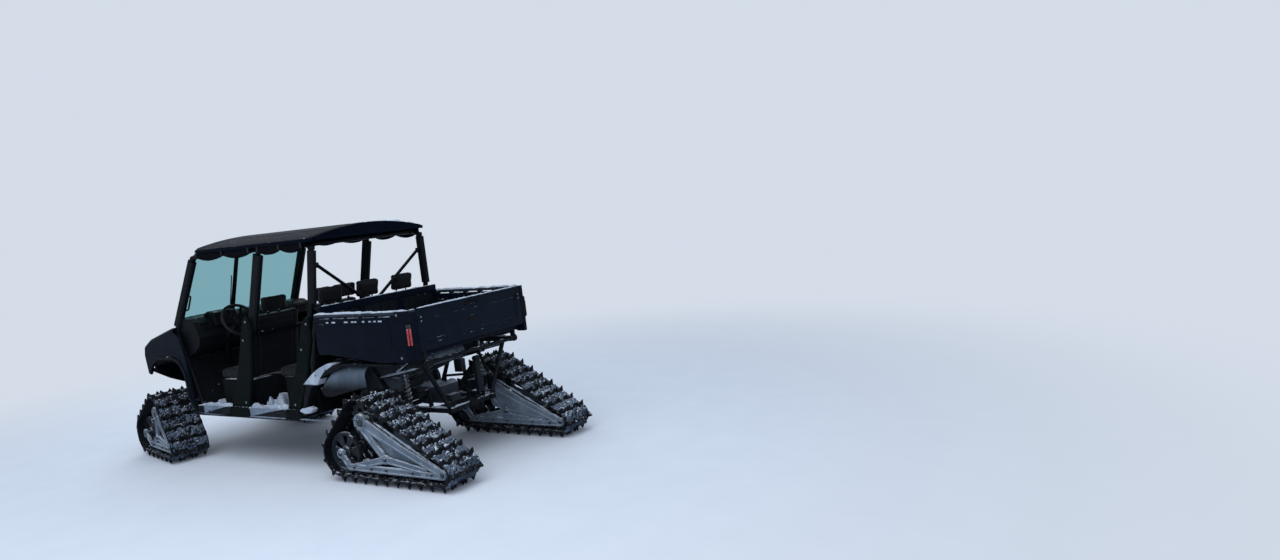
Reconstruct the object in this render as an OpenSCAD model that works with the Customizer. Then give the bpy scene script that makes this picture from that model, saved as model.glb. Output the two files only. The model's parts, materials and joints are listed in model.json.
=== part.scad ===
// Crew-cab utility vehicle on four rubber snow tracks, with a tipping cargo bed.
// Lengths are in millimetres. Inside the modules +X is forward from the rear axle,
// +Y is to the left and Z is up from the ground. placed() then centres the vehicle.

/* [Running gear] */
// Distance between the front and rear axles
wheelbase = 3050; // [2960:10:3150]
// Height of the rear hubs above the ground
rear_hub_z = 530; // [510:5:560]
// Height of the front hubs above the ground
front_hub_z = 480; // [470:5:500]
// Middle of each track from the vehicle's centre plane
track_mid_y = 762; // [755:1:800]
// Width of the rubber belts
belt_w = 360; // [320:5:370]
// Thickness of the belt without its lugs
belt_t = 14; // [10:1:18]
// Height of the lugs
lug_h = 52; // [40:1:60]
// Distance between lugs of one row, roughly
lug_pitch = 126; // [110:1:150]
// Angle by which the front tracks are turned to the right as the vehicle stands
steer_rest = 12; // [0:1:20]
// Distance of the steering axis from the centre plane
kingpin_y = 560; // [550:1:562]

/* [Cab] */
// Half of the width over the sills
body_half_w = 755; // [740:1:770]
// Height of the underside of the sills
sill_z = 450; // [440:1:458]
// Height of the cab floor's upper face
floor_z = 506; // [500:1:515]
// Outer radius of the cage tubes
cage_r = 25; // [20:1:26]
// Height of the cage's top rails, at their centre
rail_z = 2035; // [1950:5:2100]
// Half of the distance between the cage's top rails
rail_y = 640; // [600:5:650]
// Rise of the roof's crown above its edge
roof_crown = 96; // [60:2:120]
// Thickness of the moulded body panels
panel_t = 18; // [12:1:22]
// Thickness of the windscreen
glass_t = 6; // [4:1:8]
// Diameter of the steering wheel at its rim's middle
steering_wheel_d = 350; // [320:5:370]

/* [Cargo bed] */
// Height of the bed floor's upper face
bed_floor_z = 1100; // [1080:5:1130]
// Height of the bed's top rail
bed_rail_z = 1422; // [1380:2:1460]
// Rear face of the bed, behind the rear axle
bed_rear = 550; // [530:5:570]
// Front face of the bed, ahead of the rear axle
bed_front = 615; // [560:5:620]
// Thickness of the bed's side walls
bed_wall = 48; // [36:1:60]
// Thickness of the tailgate
gate_t = 44; // [36:1:50]

/* [Hidden] */
$fn = 48;
// Running clearances: a seat that only touches, a pin in its hole, and two parts that pass
seat_gap = 0.3;
pin_gap = 0.3;
pass_gap = 6;
front_axle_x = wheelbase;

// Track geometry, one row per axle:
// [hub height, sprocket radius, front idler x, front idler radius, tail idler x, tail idler radius]
shoe_t = belt_t + lug_h;
rear_set = [rear_hub_z, 190, 300, 176, -880, 78];
front_set = [front_hub_z, 168, 420, 166, -300, 92];
// Ground wheels between the idlers, by their distance from the hub
rear_rollers = [70, -110, -290, -470, -650];
front_rollers = [190, 50, -95];
roller_r = 62;
idler_gap = 0.5;
side_plate_y = 132;
side_plate_t = 24;
wheel_row_y = 84;
wheel_w = 46;

// Overall reach, used to put the origin under the middle of the vehicle
track_off_y = track_mid_y - kingpin_y;
rear_reach = -rear_set[4] + rear_set[5] + shoe_t;
front_reach = wheelbase + (front_set[2] + front_set[3] + shoe_t) * cos(steer_rest)
    + (track_off_y + belt_w / 2) * sin(steer_rest);
rear_axle_x = (rear_reach - front_reach) / 2;

// Chassis levels
rail_bottom = sill_z + 2;
rail_top = rail_bottom + 40;
front_rail_bottom = rail_bottom - 57;
front_rail_top = front_rail_bottom + 40;
rail_mid_y = 260;
rail_half = 25;
upper_rail_y = 520;
upper_rail_z = 932;
upper_rail_h = 45;
upper_rail_top = upper_rail_z + upper_rail_h;
tube_r = 20;

// Bed hinge and its gas spring
bed_pivot_x = -490;
bed_pivot_z = upper_rail_z + 22;
bed_pivot_r = 18;
bed_lug_y = 565;
bed_lug_t = 26;
bed_half_w = body_half_w;
bed_base_z = bed_floor_z - 35;
bed_wall_top = bed_rail_z - 57;
post_w = 95;
gate_half_w = bed_half_w - post_w - pass_gap;
gate_z = bed_base_z + 5;
gate_pin_r = 8;
gate_pin_z = gate_z + 20;
gate_pin_x = -bed_rear + gate_t / 2;
gate_swing = norm([gate_t / 2, gate_pin_z - gate_z]);
strut_y = -420;
strut_foot = [-258, 625];
strut_head = [-92, 1004];
// The rod's eye is open wide, as the eye drifts from the bed's pin while the bed tips
eye_hole_r = 13;

// Steering joint levels
ball_low_z = front_hub_z - 105;
ball_high_z = front_hub_z + 105;
ball_half = 18;
stud_r = 9;

// Cage points in side view: [x, y, z] of the left side
post_y = body_half_w - 65;
front_post_x = front_axle_x - 1165;
post_lean = 0.3189;
a_foot = [front_axle_x - 450, post_y, floor_z + 60];
a_base = [front_axle_x - 190, post_y, 1300];
a_top = [front_axle_x - 600, rail_y, rail_z];
b_foot = [front_post_x, post_y, floor_z + 10];
b_top = [front_post_x - (rail_z - b_foot[2]) * post_lean, rail_y, rail_z + 2];
c_foot = [1100, post_y, floor_z + 10];
c_knee = [690, post_y, 1480];
c_top = [640, rail_y, rail_z];

// Front shocks: distance ahead, and the underside of the plate above them
shock_x = front_axle_x + 43;
shock_top = 884;

// Steering wheel
wheel_at = [front_axle_x - 785, 375, 1345];
wheel_tilt = 32;
wheel_rim_r = 15;

module placed() { translate([rear_axle_x, 0, 0]) children(); }
module both_sides() { children(); mirror([0, 1, 0]) children(); }
// Front body shapes are drawn for a front axle 3050 mm ahead of the rear one, and move with it
module with_front_axle() { translate([front_axle_x - 3050, 0, 0]) children(); }

// A cylinder along Y between two values of y
module bar_y(x, z, y0, y1, r) {
    translate([x, y0, z]) rotate([-90, 0, 0]) cylinder(h = y1 - y0, r = r);
}
// A cylinder along X between two values of x
module bar_x(x0, x1, y, z, r) {
    translate([x0, y, z]) rotate([0, 90, 0]) cylinder(h = x1 - x0, r = r);
}
// A round rod from point p to point q, turned about itself by spin
module rod(p, q, r, spin = 0) {
    d = q - p;
    len = norm(d);
    translate(p) rotate([0, acos(d[2] / len), atan2(d[1], d[0])]) rotate([0, 0, spin]) cylinder(h = len, r = r);
}
// A flat outline in the X-Z plane, extruded from y0 to y1
module plate_y(y0, y1) {
    translate([0, y1, 0]) rotate([90, 0, 0]) linear_extrude(y1 - y0) children();
}
module block(x0, x1, y0, y1, z0, z1) {
    translate([x0, y0, z0]) cube([x1 - x0, y1 - y0, z1 - z0]);
}

// The belt's inner path: tangent arcs round three circles [x, z, radius], counter-clockwise
// seen from the vehicle's right. Each arc is a list of [x, z, outward angle].
function tangent_angle(c1, c2) =
    let (d = [c2[0] - c1[0], c2[1] - c1[1]], len = norm(d))
    atan2(d[1], d[0]) - 90 + asin((c1[2] - c2[2]) / len);
function arc_steps(a0, a1, step) = let (n = max(1, ceil((a1 - a0) / step))) [for (i = [0:n]) a0 + (a1 - a0) * i / n];
function after(a, b) = b < a ? after(a, b + 360) : b;
function loop_arcs(circles) = [for (i = [0:2]) let (
    prev = circles[(i + 2) % 3], here = circles[i], next = circles[(i + 1) % 3],
    a0 = tangent_angle(prev, here), a1 = after(a0, tangent_angle(here, next)))
    [here, a0, a1]];
function on_circle(c, r, a) = [c[0] + r * cos(a), c[1] + r * sin(a)];
// Vertices are pushed out so that each chord stays clear of its circle
function inner_loop(circles, step = 15) = [for (arc = loop_arcs(circles)) let (
    n = max(1, ceil((arc[2] - arc[1]) / step)), half = (arc[2] - arc[1]) / n / 2)
    for (i = [0:n - 1]) on_circle(arc[0], (arc[0][2] + idler_gap) / cos(half), arc[1] + half + 2 * half * i)];
// Lengths of the loop's arcs and straight runs, in turn
function arc_len(arc) = (arc[2] - arc[1]) * PI / 180 * arc[0][2];
function run_len(arc, next) =
    norm(on_circle(next[0], next[0][2], next[1]) - on_circle(arc[0], arc[0][2], arc[2]));
function loop_len(arcs) = arc_len(arcs[0]) + arc_len(arcs[1]) + arc_len(arcs[2])
    + run_len(arcs[0], arcs[1]) + run_len(arcs[1], arcs[2]) + run_len(arcs[2], arcs[0]);
// The point at distance s along the loop, pushed out by h
function loop_point(arcs, s, h, i = 0) = let (
    arc = arcs[i % 3], next = arcs[(i + 1) % 3], la = arc_len(arc), lr = run_len(arc, next))
    s <= la ? on_circle(arc[0], arc[0][2] + h, arc[1] + s / arc[0][2] * 180 / PI)
    : s <= la + lr ? let (k = (s - la) / lr)
        on_circle(arc[0], arc[0][2] + h, arc[2]) * (1 - k) + on_circle(next[0], next[0][2] + h, next[1]) * k
    : loop_point(arcs, s - la - lr, h, i + 1);

function track_circles(set) = [
    [set[4], set[5] + shoe_t, set[5]],
    [set[2], set[3] + shoe_t, set[3]],
    [0, set[0], set[1]]
];
// One strip of belt with its own row of lugs; phase shifts the row by a share of the pitch
module belt_strip(set, y0, y1, phase) {
    circles = track_circles(set);
    arcs = loop_arcs(circles);
    total = loop_len(arcs);
    n = round(total / lug_pitch);
    foot = 44;
    tip = 26;
    function at(s, h) = loop_point(arcs, s < 0 ? s + total : s > total ? s - total : s, h);
    outer = [for (i = [0:n - 1]) let (s = total * (i + phase) / n)
        each [at(s - foot / 2, belt_t), at(s - tip / 2, shoe_t - 1), at(s + tip / 2, shoe_t - 1), at(s + foot / 2, belt_t)]];
    inner = inner_loop(circles);
    k = len(outer);
    plate_y(y0, y1) polygon(concat(outer, inner),
        [[for (i = [0:k - 1]) i], [for (i = [0:len(inner) - 1]) k + i]]);
}
// Three strips side by side, the middle row of lugs standing between the outer ones
module belt(set) {
    color([0.07, 0.07, 0.08]) {
        belt_strip(set, -belt_w / 2, -belt_w / 6, 0.25);
        belt_strip(set, -belt_w / 6, belt_w / 6, 0.75);
        belt_strip(set, belt_w / 6, belt_w / 2, 0.25);
    }
}

// A tapered flat strip between two points of a plane, with half widths rp and rq
module strip(p, rp, q, rq) {
    d = q - p;
    n = [-d[1], d[0]] / norm(d);
    polygon([p + n * rp, q + n * rq, q - n * rq, p - n * rp]);
}
module disc(p, r) { translate(p) circle(r); }
// The side plates with their cross tubes
module track_frame(set, rollers) {
    c = track_circles(set);
    tail = [c[0][0], c[0][1]];
    nose = [c[1][0], c[1][1]];
    hub = [0, set[0]];
    low_z = shoe_t + roller_r * 1.05;
    knee = [(set[2] + set[4]) * 0.42, low_z + 95];
    color([0.45, 0.46, 0.48]) difference() {
        union() {
            for (y = [-side_plate_y - side_plate_t, side_plate_y]) plate_y(y, y + side_plate_t) {
                strip(hub, 60, tail, 30);
                strip([hub[0] + 10, hub[1] - 30], 32, knee, 28);
                strip(knee, 30, [nose[0] * 0.6, low_z + 4], 20);
                strip(knee, 28, [tail[0] * 0.8, low_z + 24], 24);
                strip([nose[0] * 0.75, low_z + 3], 25, [tail[0], low_z - 4], 23);
                strip([nose[0] * 0.7, low_z], 26, nose, 27);
                disc(hub, 72);
                disc(tail, 40);
                disc(nose, 41);
                disc(knee, 37);
            }
            bar_y(knee[0], knee[1], -side_plate_y - 2, side_plate_y + 2, 20);
            bar_y(tail[0] * 0.72, c[0][1] + (hub[1] - c[0][1]) * 0.28, -side_plate_y - 2, side_plate_y + 2, 18);
        }
        bar_y(0, set[0], -side_plate_y - side_plate_t - 1, side_plate_y + side_plate_t + 1, 46);
    }
}
// Drive sprocket, idlers and ground wheels on their axles, standing between the plates
module wheel_pair(x, z, r, axle_r) {
    for (s = [-1, 1]) bar_y(x, z, s * wheel_row_y - wheel_w / 2, s * wheel_row_y + wheel_w / 2, r);
    bar_y(x, z, -side_plate_y, side_plate_y, axle_r);
}
module track_wheels(set, rollers) {
    c = track_circles(set);
    color([0.12, 0.12, 0.13]) {
        for (w = [[c[0], 20], [c[1], 22]]) wheel_pair(w[0][0], w[0][1], w[0][2], w[1]);
        for (x = rollers) wheel_pair(x, shoe_t + idler_gap + roller_r, roller_r, 12);
        for (s = [-1, 1]) bar_y(0, set[0], s * 62 - 16, s * 62 + 16, set[1]);
        bar_y(0, set[0], -side_plate_y - side_plate_t, side_plate_y + side_plate_t, 44);
    }
}

// Front track pieces are drawn round the left steering axis and turned with it
module steered(side) {
    mirror([0, side < 0 ? 1 : 0, 0]) translate([front_axle_x, kingpin_y, 0])
        rotate([0, 0, -side * steer_rest]) children();
}
module front_belt(side) { steered(side) translate([0, track_off_y, 0]) belt(front_set); }
module front_track_frame(side) {
    steered(side) translate([0, track_off_y, 0]) track_frame(front_set, front_rollers);
}
module front_track_wheels(side) {
    steered(side) translate([0, track_off_y, 0]) track_wheels(front_set, front_rollers);
}
// The tie rod's eye sits on the knuckle's arm; the rack bar lies between both eyes
arm_end = [-110, -10];
arm_z = front_hub_z + 40;
arm_t = 14;
eye_t = 18;
rack_z = arm_z + arm_t + 1 + eye_t / 2;
function eye_at(side) = [
    front_axle_x + arm_end[0] * cos(steer_rest) + side * arm_end[1] * sin(steer_rest),
    side * kingpin_y - arm_end[0] * sin(steer_rest) + side * arm_end[1] * cos(steer_rest)
];
rack_x = (eye_at(1)[0] + eye_at(-1)[0]) / 2;
rack_r = 12;
housing_half = 190;
module knuckle_arm() {
    strip([0, 0], 26, arm_end, 15);
    disc(arm_end, 20);
}
module knuckle(side) {
    plate_face = track_off_y - side_plate_y - side_plate_t;
    color([0.16, 0.16, 0.17]) steered(side) {
        translate([0, 0, ball_low_z + ball_half + pass_gap])
            cylinder(h = ball_high_z - ball_low_z - 2 * (ball_half + pass_gap), r = 34);
        translate([0, 0, ball_low_z - ball_half])
            cylinder(h = ball_high_z - ball_low_z + 2 * ball_half, r = stud_r);
        bar_y(0, front_hub_z, 0, plate_face, 40);
        translate([0, 0, arm_z]) linear_extrude(arm_t) knuckle_arm();
    }
}
module steering_rack() {
    color([0.35, 0.36, 0.38]) placed() {
        bar_y(rack_x, rack_z, eye_at(-1)[1] + 34, eye_at(1)[1] - 34, rack_r);
        for (side = [-1, 1]) {
            translate([eye_at(side)[0], eye_at(side)[1], rack_z - eye_t / 2]) cylinder(h = eye_t, r = 17);
            translate([rack_x, eye_at(side)[1] - side * 60, rack_z]) rotate([side * -90, 0, 0])
                cylinder(h = 50, r = 7);
        }
    }
}

// Lower rails, cross members, the bed's support, the front towers and the brackets
module frame() {
    cross_x = [-400, -200, 230, 820];
    color([0.09, 0.09, 0.10]) placed() difference() {
        union() {
            both_sides() {
                block(-430, front_axle_x - 450, rail_mid_y - rail_half, rail_mid_y + rail_half, rail_bottom, rail_top);
                with_front_axle() {
                    block(2560, 3390, rail_mid_y - rail_half, rail_mid_y + rail_half, front_rail_bottom, front_rail_top);
                    block(2560, 2600, rail_mid_y - rail_half, rail_mid_y + rail_half, front_rail_bottom, rail_top);
                    block(2870, 2910, 240, 280, front_rail_top - 5, 1080);
                    for (x = [3210, 3370]) block(x - 20, x + 20, 240, 280, front_rail_top - 5, 905);
                    block(2870, 3390, 240, 280, 884, 915);
                    rod([2890, 262, 1060], [2832, post_y - 32, 1216], tube_r - 2);
                }
                block(bed_pivot_x - 20, 700, upper_rail_y - 22, upper_rail_y + 22, upper_rail_z, upper_rail_top);
                rod([-395, rail_mid_y, rail_top - 12], [-395, upper_rail_y, upper_rail_z + 20], tube_r);
                rod([250, rail_mid_y, rail_top - 12], [250, upper_rail_y, upper_rail_z + 20], tube_r);
                rod([784, rail_mid_y, rail_top - 12], [628, upper_rail_y, upper_rail_z + 23], tube_r - 3, 50);
                block(shock_x - 40, shock_x + 40, 262, 330, shock_top, 905);
            }
            for (x = cross_x) block(x - 20, x + 20, -rail_mid_y, rail_mid_y, rail_bottom + 2, rail_top - 2);
            for (x = [c_foot[0], b_foot[0], a_foot[0]])
                block(x - 22, x + 22, -floor_half_w + seat_gap, floor_half_w - seat_gap, rail_bottom + 2, rail_top);
            with_front_axle() for (x = [2890, 3210, 3370])
                block(x - 20, x + 20, -rail_mid_y, rail_mid_y, front_rail_bottom + 2, front_rail_top - 2);
            with_front_axle() for (x = [2890, 3370]) block(x - 16, x + 16, -250, 250, 880, 912);
            for (x = [20, 672]) bar_y(x, upper_rail_z + 22, -upper_rail_y, upper_rail_y, 16);
            bar_y(bed_pivot_x, bed_pivot_z, -bed_lug_y - 16, bed_lug_y + 16, bed_pivot_r);
            bar_y(rack_x, rack_z, -housing_half, housing_half, 27);
            for (y = [-150, 120]) block(rack_x - 20, front_axle_x - 145, y, y + 30, front_rail_top - 5, rack_z - 10);
            // Fork for the foot of the bed's gas spring
            block(strut_foot[0] - 24, strut_foot[0] + 24, strut_y - 24, -rail_mid_y, rail_bottom + 2, rail_top);
            for (y = [strut_y - 20, strut_y + 10]) plate_y(y, y + 10) {
                translate([strut_foot[0] - 20, rail_top - 5]) square([40, strut_foot[1] - rail_top + 5]);
                translate(strut_foot) circle(20);
            }
            bar_y(strut_foot[0], strut_foot[1], strut_y - 22, strut_y + 22, 8);
        }
        bar_y(rack_x, rack_z, -housing_half - 1, housing_half + 1, rack_r + pin_gap);
    }
}
// Under-body plates
module skid_plate() {
    color([0.14, 0.14, 0.15]) placed() {
        block(700, front_axle_x - 490, -300, 300, rail_bottom - 5, rail_bottom);
        with_front_axle() plate_y(-290, 290) polygon([
            [2602, front_rail_bottom - 5], [3398, front_rail_bottom - 5], [3456, 500], [3450, 506],
            [3394, front_rail_bottom], [2602, front_rail_bottom]]);
    }
}
// Square receiver below the bed with its pin hole, and the upright with the tow hook
receiver_z = 560;
receiver_in = 50.8;
receiver_out = 63;
module hitch() {
    half = receiver_out / 2;
    color([0.12, 0.12, 0.13]) placed() difference() {
        union() {
            block(-540, -380, -half, half, receiver_z - half, receiver_z + half);
            block(-432, -420 - seat_gap, -45, 45, rail_bottom + 2, receiver_z + 130);
            block(-530, -500, -26, 26, receiver_z + 20, 880);
            block(-505, -428, -14, 14, receiver_z + 20, receiver_z + 130);
            bar_y(-515, 880, -26, 26, 24);
        }
        block(-541, -400, -receiver_in / 2, receiver_in / 2, receiver_z - receiver_in / 2, receiver_z + receiver_in / 2);
        bar_y(-500, receiver_z, -60, 60, 8.2);
        bar_y(-515, 880, -60, 60, 10);
    }
}

// Cage tubes of one side, and the bars across
// Each run of tube: [from, to, radius]. Radii differ a little where two runs meet
cage_runs = [
    [a_foot, a_base, cage_r - 1, 0], [a_base, a_top, cage_r - 2, 0], [a_top, c_top, cage_r, 0],
    [c_top, c_knee, cage_r - 2, 0], [c_knee, c_foot, cage_r - 1, 0], [b_foot, b_top, cage_r - 3, 50]
];
foot_r = cage_r + 6;
module cage_side(side) {
    color([0.05, 0.05, 0.06]) placed() mirror([0, side < 0 ? 1 : 0, 0]) {
        for (run = cage_runs) rod(run[0], run[1], run[2], run[3]);
        for (p = [a_base, a_top, c_top, c_knee]) translate(p) sphere(elbow_r);
        for (p = [a_foot, b_foot, c_foot]) translate([p[0], p[1], rail_top]) cylinder(h = p[2] - rail_top + 11, r = foot_r);
    }
}
// The room that the lower posts need in a neighbour
module post_space() {
    both_sides() {
        for (run = cage_runs) rod(run[0], run[1], run[2] + seat_gap);
        for (p = [a_foot, b_foot, c_foot])
            translate([p[0], p[1], rail_top - 1]) cylinder(h = p[2] - rail_top + 12 + seat_gap, r = foot_r + seat_gap);
    }
}
module cage_left() { cage_side(1); }
module cage_right() { cage_side(-1); }
// Bars across: [x, z, half length, radius]
knee_bar_z = c_knee[2] - 40;
function on_run(p, q, z) = p + (q - p) * (z - p[2]) / (q[2] - p[2]);
c_at_bar = on_run(c_knee, c_foot, knee_bar_z);
b_at_bar = on_run(b_foot, b_top, 1240);
a_at_bar = on_run(a_foot, a_base, a_base[2] - 40);
cross_bars = [
    [a_top[0] - 70, rail_z, rail_y - cage_r - seat_gap, cage_r - 4],
    [b_top[0] - 60, rail_z, rail_y - cage_r - seat_gap, cage_r - 4],
    [c_top[0] + 60, rail_z, rail_y - cage_r - seat_gap, cage_r - 4],
    [c_at_bar[0], knee_bar_z, c_at_bar[1] - cage_r + 1 - seat_gap, 20],
    [b_at_bar[0], 1240, b_at_bar[1] - cage_r + 2, 18],
    [a_at_bar[0], a_base[2] - 40, a_at_bar[1] - cage_r + 1 - seat_gap, 20]
];
module cage_crossbars() {
    color([0.05, 0.05, 0.06]) placed() {
        for (bar = cross_bars) bar_y(bar[0], bar[1], -bar[2], bar[2], bar[3]);
        both_sides() rod([658, rail_y - 18, 1860], [c_at_bar[0], 60, knee_bar_z + 4], 15);
    }
}

// Hard roof: a curved skin over a rim that stands on the cage
roof_front = a_top[0] + 20;
roof_rear = c_top[0] - 40;
roof_half_w = rail_y + 62;
elbow_r = cage_r + 2;
roof_seat = rail_z + elbow_r + seat_gap;
roof_skin = 12;
module roof_plan(inset) {
    w = roof_half_w - inset;
    polygon([
        [roof_rear + inset, -w + 40], [roof_rear + 40 + inset, -w], [roof_front - 190, -w],
        [roof_front - 70, -w + 50], [roof_front - inset, -w + 210], [roof_front - inset, w - 210],
        [roof_front - 70, w - 50], [roof_front - 190, w], [roof_rear + 40 + inset, w], [roof_rear + inset, w - 40]]);
}
module roof() {
    w = roof_half_w;
    bow = (w * w + roof_crown * roof_crown) / (2 * roof_crown);
    edge = roof_seat + 22;
    color([0.07, 0.08, 0.09]) placed() {
        intersection() {
            translate([0, 0, roof_seat]) linear_extrude(roof_crown + 40) roof_plan(0);
            translate([roof_rear - 10, 0, edge + roof_crown - bow]) rotate([0, 90, 0]) difference() {
                cylinder(h = roof_front - roof_rear + 20, r = bow);
                translate([0, 0, -1]) cylinder(h = roof_front - roof_rear + 22, r = bow - roof_skin);
            }
        }
        translate([0, 0, roof_seat]) linear_extrude(24) difference() {
            roof_plan(0);
            roof_plan(26);
        }
        both_sides() block(roof_rear + 40, roof_front - 190, rail_y - 20, rail_y + 40, roof_seat, roof_seat + 16);
    }
}
// Side curtains rolled up under the roof's edges
curtain_t = 36;
module rolled_curtains() {
    y = rail_y + cage_r + seat_gap;
    top = roof_seat - seat_gap;
    color([0.06, 0.07, 0.08]) placed() both_sides() for (bay = [[c_top[0] + 60, b_top[0] - 50], [b_top[0] + 60, a_top[0] - 120]]) {
        step = (bay[1] - bay[0]) / 4;
        plate_y(y, y + curtain_t) polygon(concat(
            [[bay[1], top], [bay[0], top]],
            [for (i = [0:4]) [bay[0] + step * i, top - (i == 2 ? 88 : i % 2 == 1 ? 76 : 46)]]));
    }
}
// The windscreen lies on the front of the sloping posts
screen_run = a_top - a_base;
screen_len = norm([screen_run[0], screen_run[2]]);
screen_turn = -90 - atan2(-screen_run[0], screen_run[2]);
module on_screen() { translate([a_base[0], 0, a_base[2]]) rotate([0, screen_turn, 0]) children(); }
screen_face = -(cage_r - 2) - seat_gap;
module windscreen() {
    color([0.25, 0.42, 0.42, 0.6]) placed() difference() {
        on_screen() translate([0, 0, screen_face - glass_t]) linear_extrude(glass_t) polygon([
            [30, -a_base[1] - 12], [30, a_base[1] + 12], [screen_len - 8, a_top[1] + 12], [screen_len - 8, -a_top[1] - 12]]);
        both_sides() for (p = [a_base, a_top]) translate(p) sphere(elbow_r + seat_gap);
    }
}
module wiper() {
    face = screen_face - glass_t;
    color([0.03, 0.03, 0.03]) placed() on_screen() translate([0, 0, face - 16]) {
        translate([60, 80, 0]) cylinder(h = 16 - seat_gap, r = 14);
        translate([60, 72, 4]) rotate([0, 0, 8]) cube([470, 14, 8]);
        translate([180, 92, 0]) rotate([0, 0, 8]) cube([360, 8, 16 - seat_gap]);
    }
}

// A flat shape with round corners
module rounded(w, h, r) {
    translate([0, r]) square([w, h - 2 * r]);
    translate([r, 0]) square([w - 2 * r, h]);
    for (x = [r, w - r]) for (y = [r, h - r]) translate([x, y]) circle(r);
}
// A block whose edges along Y are rounded
module soft_block(x0, x1, y0, y1, z0, z1, r) {
    plate_y(y0, y1) translate([x0, z0]) rounded(x1 - x0, z1 - z0, r);
}

// Cab floor with the toe board, and the sills outside it. A low tunnel covers the drive shaft.
floor_half_w = body_half_w - 57;
shaft_r = 14;
shaft_y = -30;
shaft_z = rail_top + shaft_r + 2;
tunnel_half = shaft_r + 12;
tunnel_top = shaft_z + shaft_r + 9;
sill_top = floor_z + 46;
module floor_pan() {
    color([0.10, 0.11, 0.12]) placed() {
        difference() {
            union() {
                block(990, front_axle_x - 490, -floor_half_w, floor_half_w, rail_top, floor_z);
                with_front_axle() plate_y(-floor_half_w, floor_half_w) polygon([
                    [2545, floor_z], [2560, rail_top], [2705, 760], [2765, 1010], [2748, 1010], [2690, 765]]);
                block(990, front_axle_x - 488, shaft_y - tunnel_half, shaft_y + tunnel_half, rail_top + 1, tunnel_top);
            }
            block(900, front_axle_x - 250, shaft_y - tunnel_half + 6, shaft_y + tunnel_half - 6, rail_top - 1, tunnel_top - 4);
            post_space();
            column_space(3);
        }
    }
}
module sills() {
    color([0.08, 0.09, 0.10]) placed() difference() {
        both_sides() plate_y(floor_half_w, body_half_w) polygon([
            [1000, sill_z], [front_axle_x - 465, sill_z], [front_axle_x - 450, sill_z + 30], [front_axle_x - 454, sill_top],
            [1010, sill_top], [985, sill_z + 40]]);
        post_space();
    }
}

// Front body: outlines in side view
hood_top = [[2890, 1335], [3060, 1290], [3300, 1225], [3405, 1165]];
nose_z = 780;
fender_edge = [[2592, 456], [2652, 610], [2688, 1010], [2742, 1235], [2872, 1322]];
arch_edge = [[2618, 456], [2715, 620], [2742, 860], [2800, 960], [2900, 1010], [3190, 1010], [3300, 940], [3350, 850]];
hood_half_w = 500;
function reversed(v) = [for (i = [len(v) - 1:-1:0]) v[i]];
function lowered(v, d) = [for (p = v) [p[0], p[1] - d]];
module hood() {
    color([0.06, 0.08, 0.09]) placed() with_front_axle() difference() {
        plate_y(-hood_half_w, hood_half_w) polygon(concat(hood_top, reversed(lowered(hood_top, panel_t))));
        for (y = [-240, 240]) block(3110, 3230, y - 70, y + 70, 1200, 1300);
    }
}
module front_fenders() {
    color([0.06, 0.08, 0.09]) placed() both_sides() {
        with_front_axle() difference() {
            plate_y(body_half_w - panel_t, body_half_w) polygon(concat(
                fender_edge, [for (i = [1:3]) hood_top[i]], [[3425, 1060], [3400, 860]], reversed(arch_edge)));
            headlamp_shape(seat_gap);
        }
        difference() {
            with_front_axle() plate_y(hood_half_w + seat_gap, body_half_w - panel_t)
                polygon(concat(hood_top, reversed(lowered(hood_top, panel_t))));
            with_front_axle() headlamp_shape(seat_gap);
            translate(a_base) sphere(cage_r + 2 + seat_gap);
            post_space();
        }
        // Liner over the wheel arch
        with_front_axle() plate_y(330, body_half_w - panel_t) polygon(concat(
            [for (i = [1:6]) arch_edge[i]], reversed([for (i = [1:6]) arch_edge[i] + [i < 6 ? -3 : 0, 14]])));
        // Raised flare round the arch
        with_front_axle() plate_y(body_half_w, body_half_w + 14) polygon(concat(
            [for (i = [0:7]) arch_edge[i]], reversed([for (i = [0:7]) arch_edge[i] + (i < 3 ? [-26, 6] : [-8, 34])])));
    }
}
lamp_x = 3380;
lamp_y = body_half_w - 155;
lamp_z = 1094;
module headlamp_shape(grow) {
    translate([lamp_x, lamp_y, lamp_z]) rotate([0, 0, 13])
        translate([-60 - grow, -115 - grow, -52 - grow]) cube([84 + 2 * grow, 230 + 2 * grow, 104 + 2 * grow]);
}
module headlamps() {
    color([0.75, 0.78, 0.80]) placed() with_front_axle() both_sides() headlamp_shape(0);
}
// Nose in plan, with the grille opening
module nose_plan(inset) {
    polygon([[3300, -body_half_w + panel_t + inset], [3385 - inset, -body_half_w + 90 + inset], [3438 - inset, -430],
        [3455 - inset, 0], [3438 - inset, 430], [3385 - inset, body_half_w - 90 - inset],
        [3300, body_half_w - panel_t - inset]]);
}
module fascia() {
    color([0.06, 0.08, 0.09]) placed() with_front_axle() difference() {
        translate([0, 0, nose_z]) linear_extrude(hood_top[3][1] - nose_z - panel_t) difference() {
            nose_plan(0);
            translate([-1, 0]) nose_plan(panel_t);
        }
        block(3300, 3500, -330, 330, 880, 1060);
        both_sides() headlamp_shape(seat_gap);
        both_sides() bar_y(3430, 860, 420, 560, 42);
    }
}
module radiator() {
    color([0.20, 0.21, 0.22]) placed() with_front_axle() {
        block(3396, 3420, -300, 300, 884, 1056);
        for (z = [890:34:1050]) block(3420, 3430, -306, 306, z, z + 12);
        both_sides() block(3390 + seat_gap, 3400, 240, 280, 850, 900);
    }
}
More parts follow.
